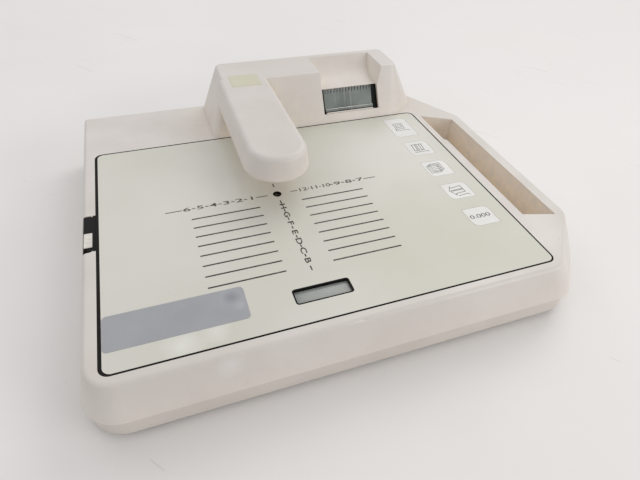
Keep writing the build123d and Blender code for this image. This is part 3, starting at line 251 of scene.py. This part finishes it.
# a moulded, painted or cast skin from one set of values
def makeSkin(name, look):
    material, tree, shader = newMaterial(name)
    spread = placeGroup(tree, surfaceSpread, {
        "patchScale": look.get("patchScale", 25.0), "grainScale": look.get("grainScale", 2200.0),
        "speckScale": look.get("speckScale", 260.0), "speckSize": look.get("speckSize", 0.07)})
    patches = remap(tree, spread["patches"], 0.35, 0.65, 0.0, look.get("patchAmount", 0.6))
    color = mixColor(tree, patches, screenColor(*look["color"]), screenColor(*look["patch"]))
    for place, reach, strength, tint in look.get("spots", ()):
        x, y, z = place
        inside = placeGroup(tree, spot, {"x": x, "y": y, "z": z, "reach": reach})["inside"]
        color = mixColor(tree, doMath(tree, "MULTIPLY", inside, strength), color, screenColor(*tint))
    if "scratch" in look:
        marks = placeGroup(tree, scratches, look.get("scratchLines", {}))["marks"]
        share = doMath(tree, "MULTIPLY", marks, wearAndPaintedLight["scratchShare"])
        color = mixColor(tree, share, color, screenColor(*look["scratch"]))
    if "deep" in look:  # light that has bounced about in a deep hollow comes back warmer
        hollow = placeGroup(tree, cornerShadeAndDirt, {"reach": wearAndPaintedLight["deepReach"]})["shadeAndDirt"]
        share = doMath(tree, "MULTIPLY", hollow, wearAndPaintedLight["deepShare"])
        color = mixColor(tree, share, color, screenColor(*look["deep"]))
    # painted shade with dirt: the skin turns brown where corners and seams close in
    if look.get("shadeAndDirt"):
        shadeAndDirt = placeGroup(tree, cornerShadeAndDirt, {"reach": look.get("dirtReach", 0.004)})["shadeAndDirt"]
        color = mixColor(tree, doMath(tree, "MULTIPLY", shadeAndDirt, look["shadeAndDirt"]), color, wearAndPaintedLight["shadeAndDirt"])
    if "speck" in look:
        specks = doMath(tree, "MULTIPLY", spread["specks"], wearAndPaintedLight["speckShare"])
        color = mixColor(tree, specks, color, screenColor(*look["speck"]))
    tree.links.new(color, shader.inputs["Base Color"])
    rough = look.get("roughness", 0.5)
    swing = look.get("roughnessSwing", 0.1)
    tree.links.new(remap(tree, spread["patches"], 0.3, 0.7, rough - swing, rough + swing),
                   shader.inputs["Roughness"])
    bump = addNode(tree, "ShaderNodeBump", {}, {
        "Strength": wearAndPaintedLight["bumpStrength"], "Distance": look.get("grainHeight", 0.00002)})
    tree.links.new(spread["grain"], bump.inputs["Height"])
    tree.links.new(bump.outputs["Normal"], shader.inputs["Normal"])
    shader.inputs["Metallic"].default_value = look.get("metallic", 0.0)
    shader.inputs["Specular IOR Level"].default_value = look.get("specular", 0.5)
    return material


# clear and tinted glass
def makeGlass(name, tint):
    material, tree, shader = newMaterial(name)
    spread = placeGroup(tree, surfaceSpread, {"patchScale": 40.0})
    clear = (1.0, 1.0, 1.0, 1.0)
    tree.links.new(mixColor(tree, spread["patches"], tint, clear), shader.inputs["Base Color"])
    tree.links.new(remap(tree, spread["patches"], 0.0, 1.0, 0.02, 0.08), shader.inputs["Roughness"])
    shader.inputs["Transmission Weight"].default_value = 1.0
    shader.inputs["IOR"].default_value = 1.49
    return material


def setMaterial(material, *names):
    for name in names:
        target = nodes[name]
        if not target.data.materials:
            target.data.materials.append(material)
        for place in target.material_slots:
            place.material = material


# the finishes, as a user would change them
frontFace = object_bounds()[0][1]
# the corner amounts in these skins paint shade, with some dirt, into corners and seams
skins = {
    "housingSkin": {
        "color": (214, 208, 202), "patch": (207, 200, 193), "roughness": 0.42, "grainScale": 1800.0,
        "grainHeight": 0.00003, "patchAmount": 0.7, "shadeAndDirt": 0.4, "speck": (140, 125, 110),
        # painted bounce light, warm and pale, for the deep hollows
        "deep": (250, 232, 206),
        "spots": (((-0.09, frontFace + 0.004, 0.036), 0.009, 0.5, (232, 229, 230)),
                  ((-0.15, frontFace + 0.02, 0.04), 0.02, 0.3, (202, 190, 178)))},
    "traySkin": {
        "color": (211, 204, 196), "patch": (204, 196, 187), "roughness": 0.5, "grainScale": 1800.0,
        "grainHeight": 0.00003, "patchAmount": 0.7, "shadeAndDirt": 0.4, "speck": (130, 115, 100)},
    "panelSkin": {
        "color": (212, 209, 201), "patch": (202, 201, 186), "roughness": 0.4, "grainScale": 3200.0,
        "grainHeight": 0.000012, "patchScale": 7.0, "patchAmount": 0.9, "shadeAndDirt": 0.3,
        "speck": (150, 132, 112), "speckScale": 110.0, "speckSize": 0.03,
        "spots": (((-0.112, -0.1165, 0.042), 0.013, 0.9, (224, 223, 216)),
                  ((-0.094, -0.113, 0.042), 0.01, 0.8, (224, 223, 216)))},
    "keySkin": {
        "color": (224, 223, 219), "patch": (217, 216, 211), "roughness": 0.38, "grainScale": 3200.0,
        "grainHeight": 0.000012, "shadeAndDirt": 0.3, "speck": (160, 150, 140)},
    "blackSkin": {
        "color": (12, 11, 11), "patch": (20, 19, 19), "roughness": 0.4, "grainScale": 2600.0,
        "grainHeight": 0.00001, "scratch": (44, 42, 41), "specular": 0.1},
    "rubberSkin": {
        "color": (24, 22, 21), "patch": (38, 36, 34), "roughness": 0.75, "grainScale": 1500.0,
        "grainHeight": 0.00003, "specular": 0.15},
    "boardSkin": {
        "color": (28, 92, 55), "patch": (22, 76, 46), "roughness": 0.35, "grainScale": 3000.0,
        "grainHeight": 0.00001, "shadeAndDirt": 0.3},
    "steelSkin": {
        "color": (190, 190, 188), "patch": (164, 163, 158), "roughness": 0.34, "grainScale": 3000.0,
        "grainHeight": 0.00001, "shadeAndDirt": 0.4, "metallic": 1.0, "scratch": (120, 118, 114)},
    "barSkin": {
        "color": (112, 118, 114), "patch": (96, 101, 98), "roughness": 0.42, "patchScale": 60.0,
        "grainScale": 3000.0, "grainHeight": 0.00001, "shadeAndDirt": 0.6, "metallic": 0.35, "specular": 0.4,
        "scratch": (150, 155, 152), "scratchLines": {"turn": 1.57, "fine": 700.0, "amount": 0.62}},
    "aluminiumSkin": {
        "color": (205, 206, 208), "patch": (184, 185, 188), "roughness": 0.36, "grainScale": 3500.0,
        "grainHeight": 0.00001, "shadeAndDirt": 0.3, "metallic": 1.0, "scratch": (150, 152, 155)},
    "copperSkin": {
        "color": (184, 110, 60), "patch": (150, 84, 44), "roughness": 0.35, "grainScale": 900.0,
        "grainHeight": 0.00006, "shadeAndDirt": 0.3, "metallic": 0.8},
    "gearSkin": {
        "color": (224, 218, 196), "patch": (212, 203, 176), "roughness": 0.4, "shadeAndDirt": 0.4},
    "paperSkin": {
        "color": (238, 236, 230), "patch": (229, 226, 217), "roughness": 0.85, "grainScale": 3500.0,
        "shadeAndDirt": 0.2},
    "labelSkin": {
        "color": (208, 204, 182), "patch": (198, 193, 168), "roughness": 0.45, "grainScale": 3000.0,
        "speck": (150, 140, 110)},
    "tagSkin": {
        "color": (226, 223, 216), "patch": (206, 200, 190), "roughness": 0.6, "patchScale": 500.0,
        "patchAmount": 0.9, "speck": (90, 84, 78), "speckScale": 900.0, "speckSize": 0.2},
    "chipSkin": {
        "color": (40, 40, 42), "patch": (56, 56, 58), "roughness": 0.5, "grainScale": 3000.0},
    "glassCaseSkin": {
        "color": (150, 153, 148), "patch": (140, 143, 139), "roughness": 0.16, "roughnessSwing": 0.05,
        "patchScale": 60.0, "grainHeight": 0.000004},
    "foilSkin": {
        "color": (162, 163, 167), "patch": (150, 151, 156), "roughness": 0.4, "patchScale": 45.0,
        "grainScale": 2400.0, "speck": (104, 104, 108), "speckScale": 420.0, "speckSize": 0.05,
        "spots": (((-0.0815, -0.0925, 0.0421), 0.0055, 0.8, (134, 134, 142)),
                  ((-0.078, -0.1, 0.0421), 0.004, 0.7, (176, 176, 182)))},
    "insulatorSkin": {
        "color": (34, 44, 70), "patch": (44, 54, 82), "roughness": 0.45, "grainScale": 2600.0},
}
made = {name: makeSkin(name, look) for name, look in skins.items()}
made["lensGlass"] = makeGlass("lensGlass", (0.85, 0.92, 0.95, 1.0))
made["filterGlass"] = makeGlass("filterGlass", (0.3, 0.4, 0.85, 1.0))

dressing = {
    "housingSkin": ("upper_housing", "arm_cover", "detector_barrel"),
    "traySkin": ("base_tray",),
    "panelSkin": ("work_panel",),
    "keySkin": ("zero_key", "print_key", "stack_key", "columns_key", "plate_key"),
    "blackSkin": ("filter_slide", "window_frame", "printer_frame", "mains_inlet", "switch_frame",
                  "fuse_holder", "display_module", "measuring_bush", "print_head", "power_rocker",
                  "filter_guide"),
    "rubberSkin": ("rubber_feet", "dome_mat", "panel_seal", "platen_roller"),
    "boardSkin": ("keypad_board", "detector_board", "main_board"),
    "steelSkin": ("tray_screws", "cover_screws", "board_screws", "rear_plate", "inlet_pins",
                  "serial_connector", "roll_spindle", "printer_motor", "transformer_core", "photodiode"),
    "barSkin": ("tear_bar",),
    "aluminiumSkin": ("optics_block", "lamp_holder", "mirror"),
    "copperSkin": ("transformer_coil",),
    "gearSkin": ("platen_gear", "motor_pinion"),
    "paperSkin": ("paper_roll",),
    "labelSkin": ("arm_label",),
    "tagSkin": ("filter_label",),
    "chipSkin": ("chips", "capacitors"),
    "glassCaseSkin": ("display_window",),
    "foilSkin": ("foil_sticker",),
    "lensGlass": ("measuring_lens", "detector_lens", "condenser_lens", "lamp"),
    "filterGlass": ("filters",),
}
for skinName, names in dressing.items():
    setMaterial(made[skinName], *names)
print("materials set:", len(made))


# printed ink, worn unevenly towards the surface under it
def makeInk(name, color, under, fade):
    material, tree, shader = newMaterial(name)
    spread = placeGroup(tree, surfaceSpread, {"patchScale": 300.0})
    worn = remap(tree, spread["patches"], 0.4, 0.75, 0.0, fade)
    mixed = mixColor(tree, worn, screenColor(*color), screenColor(*under))
    tree.links.new(mixed, shader.inputs["Base Color"])
    tree.links.new(remap(tree, spread["grain"], 0.0, 1.0, 0.5, 0.62), shader.inputs["Roughness"])
    return material


inks = {
    "darkInk": makeInk("darkInk", (36, 31, 27), (150, 146, 138), 0.3),
    "greyInk": makeInk("greyInk", (66, 61, 56), (160, 157, 149), 0.3),
    "keyInk": makeInk("keyInk", (58, 58, 62), (190, 189, 186), 0.3),
}
inkHeight = 0.04


def finishPiece(piece, name, material, body="housing_body"):
    piece.name = name
    piece.data.name = name
    piece.data.materials.clear()
    piece.data.materials.append(material)
    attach(piece, body)
    bpy.ops.object.select_all(action="DESELECT")
    return piece


def joinPieces(pieces):
    bpy.ops.object.select_all(action="DESELECT")
    for piece in pieces:
        piece.select_set(True)
    bpy.context.view_layer.objects.active = pieces[0]
    if len(pieces) > 1:
        bpy.ops.object.join()
    return bpy.context.object


# bevels the edges that run along one axis, so that bars get rounded ends
def roundAlong(piece, axis, width, segments=2):
    bpy.ops.object.select_all(action="DESELECT")
    piece.select_set(True)
    bpy.context.view_layer.objects.active = piece
    bpy.ops.object.mode_set(mode="EDIT")
    bpy.ops.mesh.select_mode(type="EDGE")
    bpy.ops.mesh.select_all(action="DESELECT")
    bpy.ops.object.mode_set(mode="OBJECT")
    for edge in piece.data.edges:
        first, second = (piece.data.vertices[index].co for index in edge.vertices)
        edge.select = abs((second - first).normalized()[axis]) > 0.99
    bpy.ops.object.mode_set(mode="EDIT")
    bpy.ops.mesh.bevel(offset=width, segments=segments, affect="EDGES")
    bpy.ops.object.mode_set(mode="OBJECT")
    return piece


# a straight printed stroke between two places in metres
def addStroke(first, second, width, top):
    length = math.hypot(second[0] - first[0], second[1] - first[1]) + width * mm * 0.8
    bpy.ops.object.select_all(action="DESELECT")
    bpy.ops.mesh.primitive_cube_add(size=1.0, location=(0, 0, 0))
    piece = bpy.context.object
    piece.scale = (length, width * mm, inkHeight * mm)
    piece.rotation_euler = (0, 0, math.atan2(second[1] - first[1], second[0] - first[0]))
    piece.location = ((first[0] + second[0]) / 2, (first[1] + second[1]) / 2, top + inkHeight * mm / 2)
    bpy.ops.object.transform_apply(location=True, rotation=True, scale=True)
    return piece


# strokes from point to point, in mm about a middle in metres
def addPath(points, middle, width, top):
    places = [(middle[0] + x * mm, middle[1] + y * mm) for x, y in points]
    return [addStroke(first, second, width, top) for first, second in zip(places, places[1:])]


# a printed word, made a mesh before it is set in its place
def addWord(word, middle, size, top, turn=0.0, stretch=1.0, weight=0.0):
    bpy.ops.object.select_all(action="DESELECT")
    bpy.ops.object.text_add(location=(0, 0, 0))
    piece = bpy.context.object
    piece.data.body = word
    piece.data.align_x = "CENTER"
    piece.data.align_y = "CENTER"
    piece.data.size = 1.0
    piece.data.extrude = 0.01
    piece.data.offset = weight
    bpy.ops.object.convert(target="MESH")
    piece = bpy.context.object
    piece.scale = (size * mm * stretch, size * mm, inkHeight * mm / 0.02)
    piece.rotation_euler = (0, 0, turn)
    piece.location = (middle[0], middle[1], top + inkHeight * mm / 2)
    bpy.ops.object.transform_apply(location=True, rotation=True, scale=True)
    return piece


def onPanel(x, y):
    return (panelX + x * mm, panelY + y * mm)


# one line for each row of wells, on both sides of the measuring hole
rowLines = {"left": (57.9, 103.7), "right": (134.7, 180.6), "first": 103.45, "pitch": 9.0, "count": 8,
            "width": 1.1, "round": 0.2}


def makeRowLines():
    pieces = []
    for side in ("left", "right"):
        start, end = rowLines[side]
        for index in range(rowLines["count"]):
            y = rowLines["first"] - index * rowLines["pitch"]
            pieces.append(addStroke(onPanel(start, y), onPanel(end, y), rowLines["width"], panelTop))
    finishPiece(roundAlong(joinPieces(pieces), 2, rowLines["round"] * mm), "rowLines", inks["darkInk"])


makeRowLines()

# column numbers, with dashes between them and longer ones at the ends, each as its gap and length
digitRow = {
    "y": 114.65, "size": 5.3, "weight": 0.012, "pitch": 9.0, "width": 0.75, "round": 0.12,
    "single": {"stretch": 2.05, "dash": 1.8},
    "pair": {"stretch": 1.35, "dash": 0.7},
    "groups": (
        {"names": "654321", "start": 55.8, "before": (3.4, 10.5), "after": (3.4, 7.5)},
        {"names": ("12", "11", "10", "9", "8", "7"), "start": 138.2, "before": (4.25, 4.5),
         "after": (3.4, 9.0)},
    ),
}


def makeDigitRow():
    strokes = []
    words = []
    y = digitRow["y"]
    for group in digitRow["groups"]:
        start = group["start"]
        end = start + (len(group["names"]) - 1) * digitRow["pitch"]
        for index, name in enumerate(group["names"]):
            x = start + index * digitRow["pitch"]
            form = digitRow["single" if len(name) == 1 else "pair"]
            words.append(addWord(name, onPanel(x, y), digitRow["size"], panelTop, 0.0, form["stretch"],
                                 digitRow["weight"]))
            if index:
                middle = x - digitRow["pitch"] / 2
                half = form["dash"] / 2
                strokes.append(addStroke(onPanel(middle - half, y), onPanel(middle + half, y),
                                         digitRow["width"], panelTop))
        for edge, direction, side in ((start, -1, "before"), (end, 1, "after")):
            gap, length = group[side]
            near = edge + direction * gap
            strokes.append(addStroke(onPanel(near, y), onPanel(near + direction * length, y),
                                     digitRow["width"], panelTop))
    dashes = roundAlong(joinPieces(strokes), 2, digitRow["round"] * mm)
    finishPiece(joinPieces([dashes] + words), "digitRow", inks["greyInk"])


makeDigitRow()

# row letters, read from the side, with a dash between each two
letterColumn = {"x": 119.2, "size": 5.3, "stretch": 1.6, "weight": 0.02, "width": 0.85, "dash": 0.9,
                "round": 0.12, "ends": (125.0, 105.0, 38.4), "endDash": 1.6,
                "letters": (("H", 100.1), ("G", 90.8), ("F", 81.7), ("E", 72.3), ("D", 63.2),
                            ("C", 54.2), ("B", 45.3))}


def makeLetterColumn():
    words = []
    strokes = []
    x = letterColumn["x"]
    half = letterColumn["dash"]
    for index, (name, y) in enumerate(letterColumn["letters"]):
        words.append(addWord(name, onPanel(x, y), letterColumn["size"], panelTop, -math.pi / 2,
                             letterColumn["stretch"], letterColumn["weight"]))
        if index:
            middle = (y + letterColumn["letters"][index - 1][1]) / 2
            strokes.append(addStroke(onPanel(x, middle - half), onPanel(x, middle + half),
                                     letterColumn["width"], panelTop))
    for y in letterColumn["ends"]:
        reach = letterColumn["endDash"]
        strokes.append(addStroke(onPanel(x, y - reach), onPanel(x, y + reach), letterColumn["width"],
                                 panelTop))
    dashes = roundAlong(joinPieces(strokes), 2, letterColumn["round"] * mm)
    finishPiece(joinPieces([dashes] + words), "letterColumn", inks["darkInk"])


makeLetterColumn()
print("panel printed")


# line pictograms on the keys, in mm about each key's middle
def sheetOutline(x, y, wide, tall, slant):
    return [(x, y), (x + wide, y), (x + wide + slant, y + tall), (x + slant, y + tall), (x, y)]


pictograms = {
    "print_key": {
        "width": 0.45, "stretch": (1.0, 1.2),
        "paths": ([(-6.0, 0.6), (-3.4, 4.6), (-2.9, 3.0), (5.0, 4.0), (5.6, -2.2), (-2.2, -2.6),
                   (-2.8, -4.2), (-6.0, 0.6)],
                  [(-4.6, 0.7), (4.9, 1.0)], [(-4.6, 0.0), (4.9, 0.2)],
                  [(-2.0, -5.2), (6.4, -4.4), (7.4, -5.6)])},
    "stack_key": {
        "width": 0.36, "stretch": (1.25, 1.25),
        "paths": (sheetOutline(-5.6, -4.2, 7.0, 7.4, 0.0), sheetOutline(-4.2, -3.2, 7.0, 7.4, 0.0),
                  sheetOutline(-2.8, -2.2, 7.0, 7.4, 0.0),
                  [(-1.8, -0.4), (3.2, -0.4)], [(-1.8, 1.4), (3.2, 1.4)], [(-1.8, 3.2), (3.2, 3.2)])},
    "columns_key": {
        "width": 0.48, "stretch": (1.0, 1.25),
        "paths": (sheetOutline(-4.8, -2.6, 8.6, 7.0, 1.0), [(-2.0, -2.6), (-1.2, 4.4)],
                  [(-0.6, -2.6), (0.2, 4.4)], [(1.8, -2.6), (2.6, 4.4)],
                  [(-5.4, -4.4), (5.6, -4.4), (6.8, -5.4)])},
    "plate_key": {
        "width": 0.42, "stretch": (1.0, 1.3),
        "paths": (sheetOutline(-4.4, -1.6, 7.8, 6.8, 0.8), sheetOutline(-2.6, 0.2, 4.6, 3.4, 0.4),
                  [(-1.2, 1.9), (0.6, 1.9)], [(-5.2, -3.6), (5.8, -3.6), (7.0, -4.6)],
                  [(-5.2, -3.6), (-4.4, -1.6)])},
}
pictogramRound = 0.09
zeroMark = {"word": "0.000", "size": 5.2, "stretch": 1.4, "weight": 0.0}
keyFaceShift = -0.6  # the keys' faces lie a little left of their middles


def keyMiddle(name):
    low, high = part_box(name)
    return ((low[0] + high[0]) / 2 + keyFaceShift * mm, (low[1] + high[1]) / 2), high[2]


def makePictograms():
    for name, drawing in pictograms.items():
        middle, top = keyMiddle(name)
        strokes = []
        for points in drawing["paths"]:
            wide, tall = drawing["stretch"]
            stretched = [(x * wide, y * tall) for x, y in points]
            strokes += addPath(stretched, middle, drawing["width"], top)
        mark = roundAlong(joinPieces(strokes), 2, pictogramRound * mm)
        finishPiece(mark, name + "Mark", inks["keyInk"], name + "_pad")
    middle, top = keyMiddle("zero_key")
    word = addWord(zeroMark["word"], middle, zeroMark["size"], top, 0.0, zeroMark["stretch"],
                   zeroMark["weight"])
    finishPiece(word, "zero_keyMark", inks["keyInk"], "zero_key_pad")


makePictograms()
print("keys printed")


# small parts of the grip and the printer's slot, as limits in mm: the grip's from the seal's left front
# top edge, the printer's across the tear bar, up the block's front face and behind it
gripTrims = {
    "gripLiner": {"x": (-1.6, 0.0), "y": (91.8, 126.8), "z": (-0.3, 0.12), "skin": "blackSkin",
                  "slot": "black", "round": 0.1},
}
slopeLean = math.radians(29.02)  # of the block's front face
printerTrims = {
    "paperEnd": {"x": (0.8, -0.8), "up": (18.0, 29.5), "behind": (4.9, 5.05), "skin": "paperSkin",
                 "slot": "paper", "round": 0.05},
    "printerSill": {"x": (0.3, -0.3), "up": (7.7, 8.9), "behind": (0.5, 3.0), "skin": "housingSkin",
                    "slot": "housing", "round": 0.3},
    # a strip of bright steel along the tear bar's lip, put there as a painted highlight
    "barHighlightStrip": {"x": (0.2, -0.2), "up": (11.45, 11.95), "behind": (1.85, 2.3), "skin": "steelSkin",
                "slot": "metal", "round": 0.15},
}


# a block with rounded edges, turned about X, with its middle at a place in metres
def addBlock(size, middle, lean, radius):
    bpy.ops.object.select_all(action="DESELECT")
    bpy.ops.mesh.primitive_cube_add(size=1.0, location=(0, 0, 0))
    piece = bpy.context.object
    piece.scale = size
    bpy.ops.object.transform_apply(location=False, rotation=False, scale=True)
    bpy.ops.object.mode_set(mode="EDIT")
    bpy.ops.mesh.select_all(action="SELECT")
    bpy.ops.mesh.bevel(offset=radius, segments=3, affect="EDGES")
    bpy.ops.object.mode_set(mode="OBJECT")
    piece.rotation_euler = (lean, 0, 0)
    piece.location = middle
    bpy.ops.object.transform_apply(location=True, rotation=True, scale=False)
    return piece


def makeTrims():
    sealLow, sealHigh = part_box("panel_seal")
    for name, look in gripTrims.items():
        ends = [[corner + value * mm for value in look[axis]]
                for axis, corner in (("x", sealLow[0]), ("y", sealLow[1]), ("z", sealHigh[2]))]
        size = [high - low for low, high in ends]
        middle = [(low + high) / 2 for low, high in ends]
        piece = addBlock(size, middle, 0.0, look["round"] * mm)
        finishPiece(piece, name, made[look["skin"]], "housing_body")
    barLow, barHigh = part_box("tear_bar")
    for name, look in printerTrims.items():
        x0 = barLow[0] + look["x"][0] * mm
        x1 = barHigh[0] + look["x"][1] * mm
        up = sum(look["up"]) / 2 * mm
        behind = sum(look["behind"]) / 2 * mm
        size = (x1 - x0, (look["behind"][1] - look["behind"][0]) * mm, (look["up"][1] - look["up"][0]) * mm)
        middle = ((x0 + x1) / 2,
                  sealHigh[1] + up * math.sin(slopeLean) + behind * math.cos(slopeLean),
                  sealHigh[2] + up * math.cos(slopeLean) - behind * math.sin(slopeLean))
        piece = addBlock(size, middle, -slopeLean, look["round"] * mm)
        finishPiece(piece, name, made[look["skin"]], "housing_body")


makeTrims()
print("grip and printer trimmed")


# the data connector's insulator and its two rows of pins
dataPins = {"insulatorInset": 1.4, "insulatorProud": 0.25, "insulatorRound": 0.9, "wall": 3.4, "columns": 13,
            "rowGap": 2.84, "pitch": 2.77, "radius": 0.5, "proud": 0.6, "shellHalf": 19.5}


def makeDataPins():
    low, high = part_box("serial_connector")
    middleX = (low[0] + high[0]) / 2
    middleZ = (low[2] + high[2]) / 2
    face = high[1]
    half = dataPins["shellHalf"] * mm - dataPins["insulatorInset"] * mm
    tall = (high[2] - low[2]) / 2 - dataPins["wall"] * mm
    bpy.ops.object.select_all(action="DESELECT")
    bpy.ops.mesh.primitive_cube_add(size=1.0, location=(0, 0, 0))
    block = bpy.context.object
    thick = dataPins["insulatorProud"] * mm
    block.scale = (2 * half, thick, 2 * tall)
    block.location = (middleX, face - thick * 0.4, middleZ)
    bpy.ops.object.transform_apply(location=True, rotation=True, scale=True)
    roundAlong(block, 1, dataPins["insulatorRound"] * mm, 3)
    finishPiece(block, "dataInsulator", made["insulatorSkin"], "housing_body")
    pins = []
    for row, count in enumerate((dataPins["columns"], dataPins["columns"] - 1)):
        z = middleZ + (0.5 - row) * dataPins["rowGap"] * mm
        for index in range(count):
            x = middleX + (index - (count - 1) / 2) * dataPins["pitch"] * mm
            bpy.ops.object.select_all(action="DESELECT")
            bpy.ops.mesh.primitive_cylinder_add(vertices=12, radius=dataPins["radius"] * mm,
                                                depth=dataPins["proud"] * mm, location=(x, face, z),
                                                rotation=(math.pi / 2, 0, 0))
            bpy.ops.object.transform_apply(location=True, rotation=True, scale=True)
            pins.append(bpy.context.object)
    finishPiece(joinPieces(pins), "dataPins", made["copperSkin"], "housing_body")


makeDataPins()
print("connector dressed")


# floor, lights and the pale background
floorLook = {"color": (233, 230, 228), "patch": (227, 224, 221), "roughness": 0.42, "patchScale": 5.0,
             "grainScale": 900.0, "grainHeight": 0.00001, "scratch": (205, 196, 188),
             "scratchLines": {"turn": 0.9, "fine": 300.0, "amount": 0.72}}
lights = {
    "rightKey": {"place": (1.05, 0.9, 1.35), "size": (1.3, 1.0), "power": 10.0, "color": (1.0, 0.985, 0.96)},
    "backFill": {"place": (-0.5, 1.3, 1.0), "size": (1.6, 1.0), "power": 4.0, "color": (0.97, 0.98, 1.0)},
    "leftFill": {"place": (-1.3, -0.3, 1.0), "size": (1.0, 1.0), "power": 2.5, "color": (1.0, 0.98, 0.96)},
    "frontFill": {"place": (0.85, -0.8, 0.42), "size": (0.8, 0.5), "power": 5.0, "color": (1.0, 0.985, 0.97)},
}
skyLook = {"color": (0.95, 0.955, 0.97, 1.0), "strength": 0.6}


def makeStage():
    bpy.ops.object.select_all(action="DESELECT")
    bpy.ops.mesh.primitive_plane_add(size=8.0, location=(0, 0, 0))
    floor = bpy.context.object
    floor.name = "floor"
    floor.data.materials.append(makeSkin("floorSkin", floorLook))


def makeLights():
    world = bpy.data.worlds.new("studio")
    bpy.context.scene.world = world
    world.use_nodes = True
    tree = world.node_tree
    sky = tree.nodes["Background"]
    sky.inputs["Color"].default_value = skyLook["color"]
    sky.inputs["Strength"].default_value = skyLook["strength"]
    for name, look in lights.items():
        bpy.ops.object.select_all(action="DESELECT")
        bpy.ops.object.light_add(type="AREA", location=look["place"])
        light = bpy.context.object
        light.name = name
        light.data.shape = "RECTANGLE"
        light.data.size, light.data.size_y = look["size"]
        light.data.energy = look["power"]
        light.data.color = look["color"]
        light.rotation_euler = (-Vector(look["place"])).to_track_quat("-Z", "Y").to_euler()


makeStage()
makeLights()
bpy.context.scene.view_settings.view_transform = "Standard"
print("stage and lights set")
